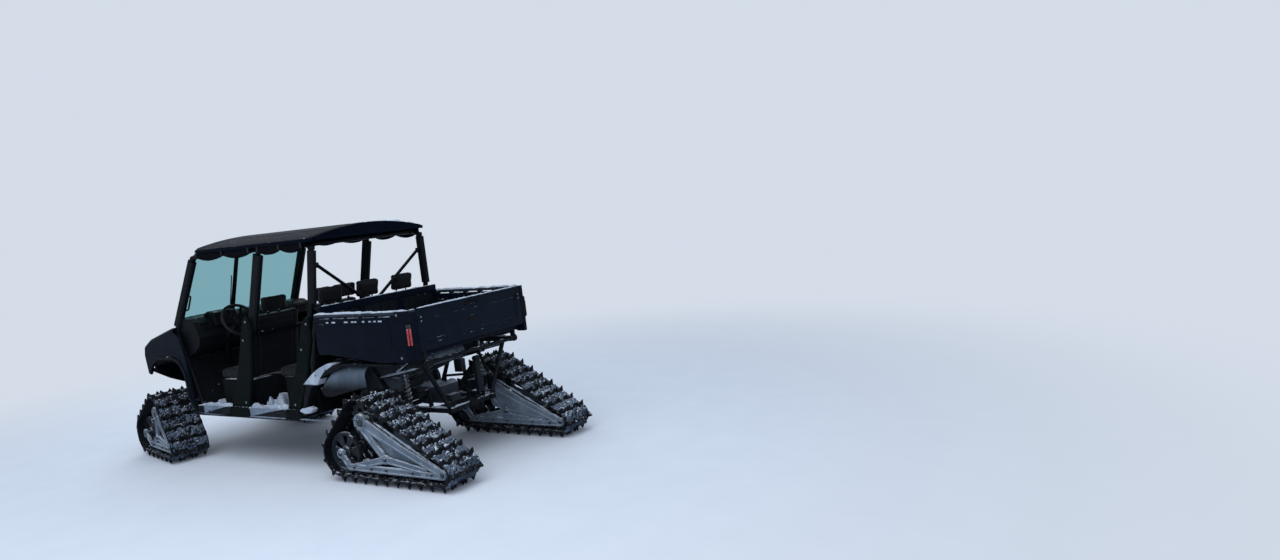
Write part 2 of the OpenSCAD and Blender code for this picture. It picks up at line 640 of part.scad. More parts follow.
// Brush guard of bent tubes, with a plate for a winch
guard = [[3492, 470, 850], [3496, 520, 960], [3490, 520, 1110], [3470, 440, 1235]];
module front_bumper() {
    color([0.06, 0.06, 0.07]) placed() with_front_axle() {
        both_sides() {
            for (i = [0:2]) rod(guard[i], guard[i + 1], tube_r);
            for (p = guard) translate(p) sphere(tube_r + 2);
            rod([3400, 262, 735], [3482, 300, 760], tube_r - 4);
            translate([3482, 300, 760]) sphere(tube_r - 2);
            rod([3482, 300, 760], [3492, 300, 850], tube_r - 5);
            rod([3488, 200, 850], [3472, 200, 1235], tube_r - 6);
            block(3390 + seat_gap, 3406, 236, 286, 660, 800);
            rod([3402, 255, 705], [3432, 215, 750], 11);
        }
        bar_y(guard[0][0], guard[0][2], -guard[0][1], guard[0][1], tube_r - 1.5);
        bar_y(guard[3][0], guard[3][2], -guard[3][1], guard[3][1], tube_r - 1.5);
        difference() {
            block(3410, 3480, -230, 230, 744, 756);
            for (y = [-127, 127]) for (x = [3425, 3465]) translate([x, y, 740]) cylinder(h = 20, r = 5.5);
        }
    }
}

// Dash with its instrument pod
module dashboard() {
    color([0.08, 0.08, 0.09]) placed() difference() {
        with_front_axle() union() {
            plate_y(-floor_half_w + 8, floor_half_w - 8) polygon([
                [2520, 1130], [2490, 1215], [2560, 1375], [2640, 1412], [2790, 1420], [2815, 1320], [2765, 1012], [2700, 1030], [2600, 1080]]);
            plate_y(wheel_at[1] - 130, wheel_at[1] + 130) polygon([
                [2470, 1300], [2500, 1440], [2610, 1462], [2700, 1410], [2560, 1330]]);
        }
        // Glove box on the passenger's side and a tray in the middle
        with_front_axle() block(2400, 2640, -620, -260, 1175, 1275);
        with_front_axle() block(2400, 2620, -180, 130, 1165, 1230);
        post_space();
        column_space(seat_gap);
    }
}
column_dir = [sin(90 - wheel_tilt), 0, -cos(90 - wheel_tilt)];
column_start = wheel_at + column_dir * 62;
column_mid = wheel_at + column_dir * 330;
column_end = [rack_x - 60, 200, rack_z + 70];
module column_space(gap) {
    rod(column_start - column_dir * 20, column_mid + column_dir * gap, 34 + gap);
    rod(wheel_at + column_dir * 320, column_end, 14 + gap);
}
module steering_column() {
    color([0.10, 0.10, 0.11]) placed() difference() {
        union() {
            rod(column_start, column_mid, 34);
            rod(wheel_at + column_dir * 320, column_end, 14);
        }
        rod(column_start - column_dir, wheel_at + column_dir * 150, 12 + pin_gap);
    }
}
module steering_wheel() {
    color([0.04, 0.04, 0.05]) placed() {
        translate(wheel_at) rotate([0, 90 + wheel_tilt, 0]) {
            rotate_extrude() translate([steering_wheel_d / 2, 0]) circle(wheel_rim_r);
            translate([0, 0, -12]) cylinder(h = 34, r = 62);
            for (a = [90, 210, 330]) rotate([0, 0, a]) translate([50, -18, -6])
                cube([steering_wheel_d / 2 - 56, 36, 11]);
        }
        rod(wheel_at, wheel_at + column_dir * 140, 12);
    }
}

// Seats: [x of the cushion's rear edge, bottom of the cushion, y from, y to] for each place
seat_box_h = 290;
cushion_t = 100;
seat_out = floor_half_w - 58;
front_seat_x = front_post_x - 5;
front_places = [[front_seat_x, 90, seat_out], [front_seat_x, -seat_out, -20]];
rear_place = [950, -seat_out, seat_out];
front_box_z = floor_z + seat_box_h;
rear_box_z = floor_z + seat_box_h + 30;
module seat_boxes() {
    color([0.09, 0.10, 0.11]) placed() difference() {
        for (p = front_places) difference() {
            block(p[0] - 88, p[0] + 430, p[1] + 12, p[2] - 12, floor_z, front_box_z);
            block(p[0] + 20, p[0] + 431, p[1] + 50, p[2] - 50, floor_z + 40, front_box_z - 30);
        }
        tunnel_space();
    }
    color([0.09, 0.10, 0.11]) placed() difference() {
        block(rear_place[0] - 88, rear_place[0] + 400, -seat_out + 40, seat_out - 40, floor_z, rear_box_z);
        for (y = [-seat_out + 80, 20]) block(rear_place[0] - 20, rear_place[0] + 401, y, y + seat_out - 100, floor_z + 40, rear_box_z - 30);
        tunnel_space();
    }
}
module tunnel_space() {
    block(800, front_axle_x - 550, shaft_y - tunnel_half - seat_gap, shaft_y + tunnel_half + seat_gap, floor_z - 1, tunnel_top + seat_gap);
}
module cushion(x, y0, y1, z) {
    soft_block(x + 20, x + 450, y0, y1, z + seat_gap, z + cushion_t, 34);
}
// A backrest that leans back from its foot behind the cushion, with headrests above it
back_t = 105;
back_h = 640;
back_lean = 12;
back_round = 40;
back_rise = (back_t - back_round) * sin(back_lean) + back_round * (1 - cos(back_lean)) + seat_gap;
module leaning(x, z) { translate([x + 14, 0, z + back_rise]) rotate([0, -back_lean, 0]) children(); }
module backrest(x, y0, y1, z) { leaning(x, z) soft_block(-back_t, 0, y0, y1, 0, back_h, back_round); }
module headrest(x, y, z) {
    leaning(x, z) {
        soft_block(-back_t + 12, -14, y - 125, y + 125, back_h + 26, back_h + 190, 36);
        for (s = [-60, 60]) translate([-back_t / 2, y + s, back_h - 60]) cylinder(h = 130, r = 7);
    }
}
front_heads = [seat_out - 275, -175, 155 - seat_out];
rear_heads = [210 - seat_out, 0, seat_out - 210];
module front_seat_cushions() {
    color([0.10, 0.10, 0.11]) placed() for (p = front_places) cushion(p[0], p[1], p[2], front_box_z);
}
module front_seat_backs() {
    color([0.10, 0.10, 0.11]) placed() {
        for (p = front_places) backrest(p[0], p[1], p[2], front_box_z);
        for (y = front_heads) headrest(front_places[0][0], y, front_box_z);
    }
}
module rear_seat_cushion() {
    color([0.10, 0.10, 0.11]) placed() cushion(rear_place[0], rear_place[1], rear_place[2], rear_box_z);
}
module rear_seat_back() {
    color([0.10, 0.10, 0.11]) placed() {
        backrest(rear_place[0], rear_place[1], rear_place[2], rear_box_z);
        for (y = rear_heads) headrest(rear_place[0], y, rear_box_z);
    }
}
// Wall behind the rear seat, between the cage's rear posts
module cab_rear_wall() {
    top = knee_bar_z - 20 - seat_gap;
    color([0.08, 0.09, 0.10]) placed() difference() {
        plate_y(-post_y + 35, post_y - 35) polygon([
            [822, floor_z], [838, floor_z], [838, 828], [808, 960], [c_at_bar[0] + 8, top], [c_at_bar[0] - 8, top],
            [792, 960], [822, 824]]);
        post_space();
        tunnel_space();
    }
}
// Moulded covers over the lower posts
front_cover = [[1760, sill_top + 1], [2050, sill_top + 1], [1925, 760], [1730, 1250], [1655, 1420], [1598, 1420],
    [1560, 1290], [1640, 900]];
front_cover_in = [[1790, sill_top], [2010, sill_top], [1890, 760], [1700, 1230], [1640, 1380], [1615, 1380],
    [1590, 1290], [1670, 910]];
rear_cover = [[1000, sill_top + 1], [1190, sill_top + 1], [1050, 800], [890, 1160], [770, 1400], [705, 1400],
    [712, 1200], [850, 830]];
rear_cover_in = [[1030, sill_top], [1160, sill_top], [1020, 790], [860, 1150], [750, 1380], [725, 1380],
    [735, 1210], [880, 840]];
module pillar_covers() {
    color([0.05, 0.08, 0.08]) placed() both_sides() difference() {
        plate_y(post_y - 8, post_y + 48) {
            with_front_axle() polygon(front_cover);
            polygon(rear_cover);
        }
        post_space();
        plate_y(post_y - 9, post_y + 26) {
            with_front_axle() polygon(front_cover_in);
            polygon(rear_cover_in);
        }
    }
}
rear_arch_outer = [[970, 500], [908, 690], [840, 820], [760, 880], [650, 940], [300, 988], [-300, 988]];
rear_arch_inner = [[925, 500], [858, 660], [785, 765], [700, 820], [620, 865], [290, 962], [-300, 962]];
module rear_fenders() {
    front = [for (i = [0:4]) rear_arch_outer[i]];
    front_in = [for (i = [0:4]) rear_arch_inner[i]];
    back = [for (i = [4:6]) rear_arch_outer[i]];
    back_in = [for (i = [4:6]) rear_arch_inner[i]];
    color([0.10, 0.10, 0.11]) placed() both_sides() {
        plate_y(post_y - 29, body_half_w - 4) polygon(concat(front, reversed(front_in)));
        plate_y(upper_rail_y + 22 + seat_gap, body_half_w - 4) polygon(concat(back, reversed(back_in)));
        plate_y(body_half_w - 22, body_half_w - 4) polygon([
            [640, 860], [500, 905], [290, 962], [240, 962], [380, 690], [470, 660], [600, 700]]);
    }
}

// Power train as plain closed pieces
gear_half = 110;
module engine() {
    color([0.30, 0.31, 0.33]) placed() {
        block(255, 790, -215, 215, rail_top, 860);
        bar_y(330, 640, -250, -215, 130);
        bar_y(590, 620, -250, -215, 90);
        for (x = [320, 700]) block(x - 20, x + 20, -rail_mid_y - 10, rail_mid_y + 10, rail_top, rail_top + 30);
    }
}
module final_drives() {
    color([0.32, 0.33, 0.35]) placed() {
        block(-150, 150, -gear_half, gear_half, rail_top - 2, 640);
        block(150, 255 - seat_gap, -70, 70, 520, 610);
        block(-220, -150, -60, 60, rail_top - 2 + seat_gap, rail_top + 60);
        with_front_axle() {
            block(2985, 3150, -gear_half + 20, gear_half - 20, front_rail_top + 5, 560);
            block(2895, 2990, -50, -10, front_rail_top - 2 + seat_gap, front_rail_top + 22);
            block(3145, 3225, -40, 40, front_rail_top - 2 + seat_gap, front_rail_top + 30);
            translate([2650, shaft_y, shaft_z]) sphere(shaft_r + 5);
            rod([2650, shaft_y, shaft_z], [2990, shaft_y, shaft_z - 38], shaft_r);
        }
        bar_x(790 + seat_gap, front_axle_x - 400, shaft_y, shaft_z, shaft_r);
    }
}
module boot(x, z, y) {
    translate([x, y, z]) rotate([-90, 0, 0]) {
        cylinder(h = 22, r = 46);
        translate([0, 0, 22]) cylinder(h = 60, r1 = 46, r2 = 24);
    }
}
module half_shafts() {
    front_half = gear_half - 20;
    color([0.12, 0.12, 0.13]) placed() both_sides() {
        bar_y(0, rear_hub_z, gear_half + seat_gap, carrier_y - seat_gap, 17);
        boot(0, rear_hub_z, gear_half + seat_gap);
        bar_y(0, rear_hub_z, 478, carrier_y - seat_gap, 42);
        bar_y(front_axle_x, front_hub_z, front_half + seat_gap, kingpin_y - 40, 17);
        boot(front_axle_x, front_hub_z, front_half + seat_gap);
        bar_y(front_axle_x, front_hub_z, 456, kingpin_y - 44, 38);
    }
}
// Lower and upper wishbones with their bushes beside the frame
spring_y = 430;
spring_bar_z = 386;
bush_low = rail_mid_y + rail_half + 16 + seat_gap;
bush_high = 280 + 15 + seat_gap;
module front_arms() {
    color([0.13, 0.13, 0.14]) placed() both_sides() difference() {
        union() {
            for (s = [-1, 1]) {
                rod([front_axle_x + s * 12, kingpin_y - 12, ball_low_z], [front_axle_x + s * 160, bush_low, front_rail_top - 20], 13);
                bar_x(front_axle_x + s * 160 - 24, front_axle_x + s * 160 + 24, bush_low, front_rail_top - 20, 16);
                rod([front_axle_x + s * 12, kingpin_y - 12, ball_high_z], [front_axle_x + s * 160, bush_high, ball_high_z + 75], 12);
                bar_x(front_axle_x + s * 160 - 20, front_axle_x + s * 160 + 20, bush_high, ball_high_z + 75, 15);
            }
            bar_x(front_axle_x - 64, front_axle_x + 64, spring_y, spring_bar_z, 11);
            for (z = [ball_low_z, ball_high_z]) translate([front_axle_x, kingpin_y, z - ball_half])
                cylinder(h = 2 * ball_half, r = 30);
        }
        translate([front_axle_x, kingpin_y, ball_low_z - ball_half - 5])
            cylinder(h = ball_high_z - ball_low_z + 2 * ball_half + 10, r = stud_r + pin_gap);
    }
}
carrier_y = 545;
rear_spring_y = 450;
rear_shock_x = -118;
module rear_arms() {
    color([0.13, 0.13, 0.14]) placed() both_sides() {
        for (s = [-1, 1]) {
            rod([s * 14, carrier_y + 12, rear_hub_z - 80], [s * 170, bush_low, rail_top - 20], 13);
            bar_x(s * 170 - 24, s * 170 + 24, bush_low, rail_top - 20, 16);
            rod([s * 14, carrier_y + 12, rear_hub_z + 80], [s * 165, 262, rear_hub_z + 120], 12);
            block(s * 165 - 14, s * 165 + 14, 247, 275, rail_top, rear_hub_z + 136);
        }
        bar_x(rear_shock_x - 20, 128, rear_spring_y, rail_top - 34, 11);
        plate_y(carrier_y, carrier_y + 30) {
            disc([0, rear_hub_z], 62);
            translate([-30, rear_hub_z - 100]) square([60, 200]);
        }
        bar_y(0, rear_hub_z, carrier_y + 29, track_mid_y - side_plate_y - side_plate_t, 40);
    }
}
// Spring and damper between the eyes p (below) and q (above), whose bolts lie along X
module shock(p, q) {
    d = q - p;
    rod(p, q, 9);
    for (e = [p, q]) bar_x(e[0] - 14, e[0] + 14, e[1], e[2], 13);
    rod(p + d * 0.06, p + d * 0.55, 20);
    for (i = [0:6]) rod(p + d * (0.31 + 0.08 * i), p + d * (0.35 + 0.08 * i), 32);
    for (k = [0.26, 0.87]) rod(p + d * k, p + d * (k + 0.03), 35);
}
module front_shocks() {
    color([0.55, 0.10, 0.08]) placed() both_sides()
        shock([shock_x, spring_y, spring_bar_z + 11 + 13 + seat_gap], [shock_x, 300, shock_top - 13 - seat_gap]);
}
module rear_shocks() {
    color([0.55, 0.10, 0.08]) placed() both_sides() shock(
        [rear_shock_x, rear_spring_y, rail_top - 34 + 11 + 13 + seat_gap],
        [rear_shock_x, upper_rail_y - 22 - 13 - seat_gap, upper_rail_z + 22]);
}
// Silencer across the back, with its tail pipe
muffler_at = [-352, 20, 960];
module muffler() {
    color([0.45, 0.45, 0.46]) placed() {
        translate(muffler_at) rotate([-90, 0, 0]) {
            cylinder(h = 440, r = 66);
            translate([0, 0, -14]) cylinder(h = 14, r1 = 46, r2 = 66);
            translate([0, 0, 440]) cylinder(h = 12, r1 = 66, r2 = 50);
            for (h = [30, 395]) translate([0, 0, h]) cylinder(h = 10, r = 69);
        }
        rod([muffler_at[0], 60, muffler_at[2]], [-440, 60, 930], 22);
        rod([muffler_at[0], 90, 912], [248, 90, 700], 20);
        block(-372, -332, 460, upper_rail_y - 22 - seat_gap, upper_rail_z, upper_rail_z + 26);
    }
}

// Rear tracks stand in line; front ones are in their own nodes
module rear_side(side) { mirror([0, side < 0 ? 1 : 0, 0]) translate([0, track_mid_y, 0]) children(); }
module front_belt_left() { placed() front_belt(1); }
module front_belt_right() { placed() front_belt(-1); }
module front_track_frame_left() { placed() front_track_frame(1); }
module front_track_frame_right() { placed() front_track_frame(-1); }
module front_track_wheels_left() { placed() front_track_wheels(1); }
module front_track_wheels_right() { placed() front_track_wheels(-1); }
module knuckle_left() { placed() knuckle(1); }
module knuckle_right() { placed() knuckle(-1); }
module rear_belt_left() { placed() rear_side(1) belt(rear_set); }
module rear_belt_right() { placed() rear_side(-1) belt(rear_set); }
module rear_track_frames() { placed() for (s = [-1, 1]) rear_side(s) track_frame(rear_set, rear_rollers); }
module rear_track_wheels() { placed() for (s = [-1, 1]) rear_side(s) track_wheels(rear_set, rear_rollers); }

// Cargo bed: floor, walls, headboard, corner posts and rails
bed_floor_rear = gate_pin_x + gate_swing + pass_gap;
side_skirt = [[-400, 1000], [-180, 995], [560, bed_base_z + 12], [bed_front, bed_base_z + 30], [bed_front, bed_wall_top],
    [-400, bed_wall_top]];
module corner_post() {
    translate([0, 0, 1000]) linear_extrude(bed_rail_z - 1000) polygon([
        [-bed_rear, gate_half_w + pass_gap], [-bed_rear, bed_half_w - 60], [-bed_rear + 62, bed_half_w],
        [-400, bed_half_w], [-400, bed_half_w - bed_wall], [-460, bed_half_w - bed_wall],
        [-460, gate_half_w + pass_gap]]);
}
module cargo_bed() {
    color([0.06, 0.08, 0.09]) placed() difference() {
        union() {
            block(bed_floor_rear, bed_front, -bed_half_w + 10, bed_half_w - 10, bed_base_z, bed_floor_z);
            for (y = [-560:140:560]) block(bed_floor_rear + 40, bed_front - 60, y - 22, y + 22, bed_floor_z - 1, bed_floor_z + 8);
            both_sides() {
                plate_y(bed_half_w - bed_wall, bed_half_w) polygon(side_skirt);
                for (x = [-280:160:520]) block(x - 26, x + 26, bed_half_w - 1, bed_half_w + 9, bed_base_z + 40, bed_wall_top - 30);
                block(-400, bed_front, bed_half_w - bed_wall, bed_half_w + 6, bed_wall_top - 2, bed_wall_top + 16);
                block(-400, bed_front, bed_half_w - 42, bed_half_w - 4, bed_rail_z - 30, bed_rail_z);
                for (x = [-390:190:560]) block(x, x + 44, bed_half_w - 42, bed_half_w - 4, bed_wall_top, bed_rail_z - 29);
                corner_post();
                block(bed_pivot_x - 12, bed_pivot_x + 29, bed_lug_y - bed_lug_t / 2, bed_lug_y + bed_lug_t / 2, bed_pivot_z, bed_base_z + 2);
                bar_y(bed_pivot_x, bed_pivot_z, bed_lug_y - bed_lug_t / 2, bed_lug_y + bed_lug_t / 2, 32);
                block(-380, 560, 440, 480, bed_base_z - 28, bed_base_z + 1);
            }
            block(-500, -470, -gate_half_w - pass_gap - 2, gate_half_w + pass_gap + 2, bed_base_z - 37, bed_base_z + 2);
            block(bed_front - 40, bed_front, -bed_half_w + bed_wall - 1, bed_half_w - bed_wall + 1, bed_floor_z - 1, bed_rail_z + 60);
            for (x = [-260, 180, 500]) block(x - 25, x + 25, -460, 460, bed_base_z - 40, bed_base_z + 1);
            for (y = [strut_y - 20, strut_y + 10]) plate_y(y, y + 10) {
                translate([strut_head[0] - 20, strut_head[1]]) square([40, bed_base_z - strut_head[1] + 5]);
                disc(strut_head, 20);
            }
            bar_y(strut_head[0], strut_head[1], strut_y - 22, strut_y + 22, 6);
            block(strut_head[0] - 24, strut_head[0] + 24, -462, strut_y + 24, bed_base_z - 20, bed_base_z + 2);
        }
        both_sides() {
            bar_y(bed_pivot_x, bed_pivot_z, bed_lug_y - bed_lug_t, bed_lug_y + bed_lug_t, bed_pivot_r + pin_gap);
            bar_y(gate_pin_x, gate_pin_z, gate_half_w - 40, gate_half_w + pass_gap + 22, gate_pin_r + pin_gap);
        }
    }
}
module tail_lamps() {
    color([0.75, 0.05, 0.05]) placed() both_sides() {
        translate([-bed_rear + 31, bed_half_w - 30, 1128]) rotate([0, 0, 44]) translate([-25, seat_gap, 0]) cube([50, 20, 190]);
    }
}
module tailgate() {
    w = gate_half_w;
    color([0.06, 0.08, 0.09]) placed() {
        difference() {
            block(-bed_rear, -bed_rear + gate_t, -w, w, gate_z, bed_rail_z - 6);
            block(-bed_rear - 1, -bed_rear + 8, -w + 70, w - 70, gate_z + 55, bed_rail_z - 60);
            block(-bed_rear - 1, -bed_rear + 30, -85, 85, bed_rail_z - 58, bed_rail_z - 30);
        }
        both_sides() bar_y(gate_pin_x, gate_pin_z, w - 1, w + pass_gap + 20, gate_pin_r);
        both_sides() block(-bed_rear - 6, -bed_rear + 10, w - 60, w - 20, bed_rail_z - 120, bed_rail_z - 50);
        block(-bed_rear - 10, -bed_rear + 20, -w + 10, w - 10, bed_rail_z - 7, bed_rail_z + 8);
    }
}
// Gas spring that holds the raised bed; its rod end is free at the bed's bracket
strut_len = norm(strut_head - strut_foot);
strut_dir = [(strut_head - strut_foot)[0], 0, (strut_head - strut_foot)[1]] / strut_len;
strut_base = [strut_foot[0], strut_y, strut_foot[1]];
module strut_tube() {
    color([0.05, 0.05, 0.05]) placed() difference() {
        union() {
            bar_y(strut_foot[0], strut_foot[1], strut_y - 8, strut_y + 8, 17);
            rod(strut_base + strut_dir * 12, strut_base + strut_dir * 40, 7);
            rod(strut_base + strut_dir * 32, strut_base + strut_dir * (strut_len - 46), 14);
        }
        bar_y(strut_foot[0], strut_foot[1], strut_y - 9, strut_y + 9, 8 + pin_gap);
        rod(strut_base + strut_dir * 44, strut_base + strut_dir * strut_len, 6 + pin_gap);
    }
}
module strut_rod() {
    color([0.6, 0.6, 0.62]) placed() difference() {
        union() {
            rod(strut_base + strut_dir * 60, strut_base + strut_dir * (strut_len - 14), 6);
            bar_y(strut_head[0], strut_head[1], strut_y - 8, strut_y + 8, 18);
        }
        bar_y(strut_head[0], strut_head[1], strut_y - 9, strut_y + 9, eye_hole_r);
    }
}

frame();
skid_plate();
hitch();
cage_left();
cage_right();
cage_crossbars();
roof();
rolled_curtains();
windscreen();
wiper();
floor_pan();
sills();
hood();
fascia();
front_fenders();
headlamps();
front_bumper();
radiator();
dashboard();
steering_column();
steering_wheel();
seat_boxes();
front_seat_cushions();
front_seat_backs();
rear_seat_cushion();
rear_seat_back();
cab_rear_wall();
pillar_covers();
rear_fenders();
engine();
muffler();
final_drives();
half_shafts();
front_arms();
rear_arms();
front_shocks();
rear_shocks();
steering_rack();
knuckle_left();
knuckle_right();
front_belt_left();
front_belt_right();
front_track_frame_left();
front_track_frame_right();
front_track_wheels_left();
front_track_wheels_right();
rear_belt_left();
rear_belt_right();
rear_track_frames();
rear_track_wheels();
cargo_bed();
tail_lamps();
tailgate();
strut_tube();
strut_rod();
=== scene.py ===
import json
from math import asin, atan2, cos, degrees, hypot, pi, radians, sin, sqrt

import bmesh
import bpy
import numpy as np
from mathutils import Matrix, Vector, noise

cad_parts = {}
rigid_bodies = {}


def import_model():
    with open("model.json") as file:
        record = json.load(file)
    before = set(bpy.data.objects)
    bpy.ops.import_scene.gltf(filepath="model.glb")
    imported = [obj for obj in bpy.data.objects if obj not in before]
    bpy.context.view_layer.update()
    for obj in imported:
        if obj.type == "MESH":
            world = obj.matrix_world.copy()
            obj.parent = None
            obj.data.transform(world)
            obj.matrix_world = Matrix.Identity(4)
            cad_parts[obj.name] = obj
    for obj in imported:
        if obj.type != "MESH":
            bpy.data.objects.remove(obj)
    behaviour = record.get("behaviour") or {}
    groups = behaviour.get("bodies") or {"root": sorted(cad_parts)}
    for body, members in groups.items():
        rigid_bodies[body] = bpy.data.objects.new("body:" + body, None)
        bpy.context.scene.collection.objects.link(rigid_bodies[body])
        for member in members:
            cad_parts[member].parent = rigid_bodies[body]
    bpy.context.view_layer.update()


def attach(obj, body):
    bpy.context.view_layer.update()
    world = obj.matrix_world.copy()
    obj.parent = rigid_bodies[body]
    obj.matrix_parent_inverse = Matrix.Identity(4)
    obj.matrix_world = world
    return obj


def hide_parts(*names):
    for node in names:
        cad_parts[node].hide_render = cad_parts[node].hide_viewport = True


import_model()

# Sizes in millimetres, with the same names as in the part's source. X runs forward from
# the rear axle, Y to the left and Z up; AXLE_X is where that axle lies in the shared frame.
AXLE_X = -1371.587
WHEELBASE = 3050
REAR_SET = (530, 190, 300, 176, -880, 78)
FRONT_SET = (480, 168, 420, 166, -300, 92)
REAR_ROLLERS = (70, -110, -290, -470, -650)
FRONT_ROLLERS = (190, 50, -95)
TRACK_Y, KINGPIN_Y, STEER = 762, 560, 12
BELT_W, BELT_T, LUG_H, LUG_PITCH = 360, 14, 52, 126
SHOE = BELT_T + LUG_H
ROLLER_R, WHEEL_Y, SIDE_PLATE_Y = 62, 84, 144
BODY_HALF = 755
A_FOOT, A_BASE, A_TOP = (2600, 690, 566), (2860, 690, 1300), (2450, 640, 2035)
B_FOOT, B_TOP = (1885, 690, 516), (1400, 640, 2037)
C_FOOT, C_KNEE, C_TOP = (1100, 690, 516), (690, 690, 1480), (640, 640, 2035)


def shade(code):
    """A colour given as rrggbb, in the linear values that a shader takes."""
    parts = [int(code[i : i + 2], 16) / 255 for i in (0, 2, 4)]
    return tuple(c / 12.92 if c < 0.04045 else ((c + 0.055) / 1.055) ** 2.4 for c in parts)


# Camera and light

BACKDROP = (0.66, 0.72, 0.81)


def set_camera():
    camera = bpy.data.objects.new("photo_view", bpy.data.cameras.new("photo_view"))
    right = Vector((-0.8427, -0.5267, -0.1114))
    up = Vector((-0.0438, -0.1391, 0.9893))
    camera.matrix_world = Matrix((right, up, right.cross(up))).transposed().to_4x4()
    camera.location = (-7.3276, 5.691, 2.134)
    camera.data.sensor_width, camera.data.lens = 36, 24.92
    camera.data.clip_end = 200
    bpy.context.scene.collection.objects.link(camera)
    bpy.context.scene.camera = camera


def set_studio():
    scene = bpy.context.scene
    scene.view_settings.view_transform = "Standard"
    world = bpy.data.worlds.new("pale room")
    scene.world = world
    world.use_nodes = True
    tree = world.node_tree
    background = tree.nodes["Background"]
    path = tree.nodes.new("ShaderNodeLightPath")
    pale = tree.nodes.new("ShaderNodeMix")
    pale.data_type = "RGBA"
    pale.inputs["A"].default_value = (0.52, 0.59, 0.70, 1)
    pale.inputs["B"].default_value = (*BACKDROP, 1)
    seen = maths(tree, "MAXIMUM", path.outputs["Is Camera Ray"], path.outputs["Is Transmission Ray"])
    tree.links.new(seen, pale.inputs["Factor"])
    tree.links.new(pale.outputs["Result"], background.inputs["Color"])
    lamps = (("overhead", (-1.5, 2.5, 6.5), 8, 300), ("side", (-6.5, 5.5, 3.5), 5, 120),
             ("front", (6.5, -4.0, 4.5), 6, 170))
    for name, place, size, watts in lamps:
        lamp = bpy.data.lights.new(name, "AREA")
        lamp.shape, lamp.size, lamp.energy = "DISK", size, watts
        lamp.color = (0.93, 0.96, 1.0)
        holder = bpy.data.objects.new(name, lamp)
        holder.location = place
        holder.rotation_euler = (Vector((0, 0, 0.8)) - Vector(place)).to_track_quat("-Z", "Y").to_euler()
        scene.collection.objects.link(holder)
    mesh = bpy.data.meshes.new("floor")
    mesh.from_pydata([(-40, -40, 0), (40, -40, 0), (40, 40, 0), (-40, 40, 0)], [], [(0, 1, 2, 3)])
    floor = bpy.data.objects.new("floor", mesh)
    scene.collection.objects.link(floor)
    mesh.materials.append(floor_paper())


# Shader node helpers

def feed(tree, socket, value):
    """Gives a socket a constant, or the output of another node."""
    if isinstance(value, bpy.types.NodeSocket):
        tree.links.new(value, socket)
    elif socket.type == "RGBA":
        socket.default_value = (*value[:3], 1)
    else:
        socket.default_value = value


def wire(tree, kind, values=(), **settings):
    """Adds a node; values maps its inputs to constants or to other nodes' outputs."""
    node = tree.nodes.new(kind)
    for key, value in settings.items():
        setattr(node, key, value)
    for key, value in dict(values).items():
        feed(tree, node.inputs[key], value)
    return node


def shader_group(name, inputs, outputs):
    """A group tree; inputs give each name its first value, a code for a colour or a number."""
    tree = bpy.data.node_groups.new(name, "ShaderNodeTree")
    for title, value in inputs.items():
        kind = "NodeSocketColor" if isinstance(value, str) else "NodeSocketFloat"
        socket = tree.interface.new_socket(title, in_out="INPUT", socket_type=kind)
        socket.default_value = (*shade(value), 1) if isinstance(value, str) else value
    for title in outputs:
        kind = "NodeSocketColor" if title == "Color" else "NodeSocketFloat"
        tree.interface.new_socket(title, in_out="OUTPUT", socket_type=kind)
    return tree, tree.nodes.new("NodeGroupInput").outputs, tree.nodes.new("NodeGroupOutput").inputs


def maths(tree, kind, a, b=0.0, c=0.0, clamp=False):
    node = wire(tree, "ShaderNodeMath", operation=kind, use_clamp=clamp)
    for socket, value in zip(node.inputs, (a, b, c)):
        feed(tree, socket, value)
    return node.outputs[0]


def times(tree, a, b, clamp=False):
    return maths(tree, "MULTIPLY", a, b, clamp=clamp)


def mixed(tree, factor, a, b):
    node = wire(tree, "ShaderNodeMix", data_type="RGBA")
    for key, value in (("Factor", factor), ("A", a), ("B", b)):
        feed(tree, node.inputs[key], value)
    return node.outputs["Result"]


def stepped(tree, value, low, high, to_low=0.0, to_high=1.0):
    """A value that eases from to_low to to_high as the given one goes from low to high."""
    limits = {"Value": value, "From Min": low, "From Max": high, "To Min": to_low, "To Max": to_high}
    return wire(tree, "ShaderNodeMapRange", limits, interpolation_type="SMOOTHSTEP").outputs["Result"]


def on_object(tree):
    """The point of the surface, in metres from the vehicle's origin."""
    return wire(tree, "ShaderNodeTexCoord").outputs["Object"]


def height_of(tree, place):
    return wire(tree, "ShaderNodeSeparateXYZ", {0: place}).outputs["Z"]


def noise_at(tree, place, scale, detail=3.0, rough=0.55):
    node = wire(tree, "ShaderNodeTexNoise",
                {"Vector": place, "Scale": scale, "Detail": detail, "Roughness": rough})
    return node.outputs["Fac"]


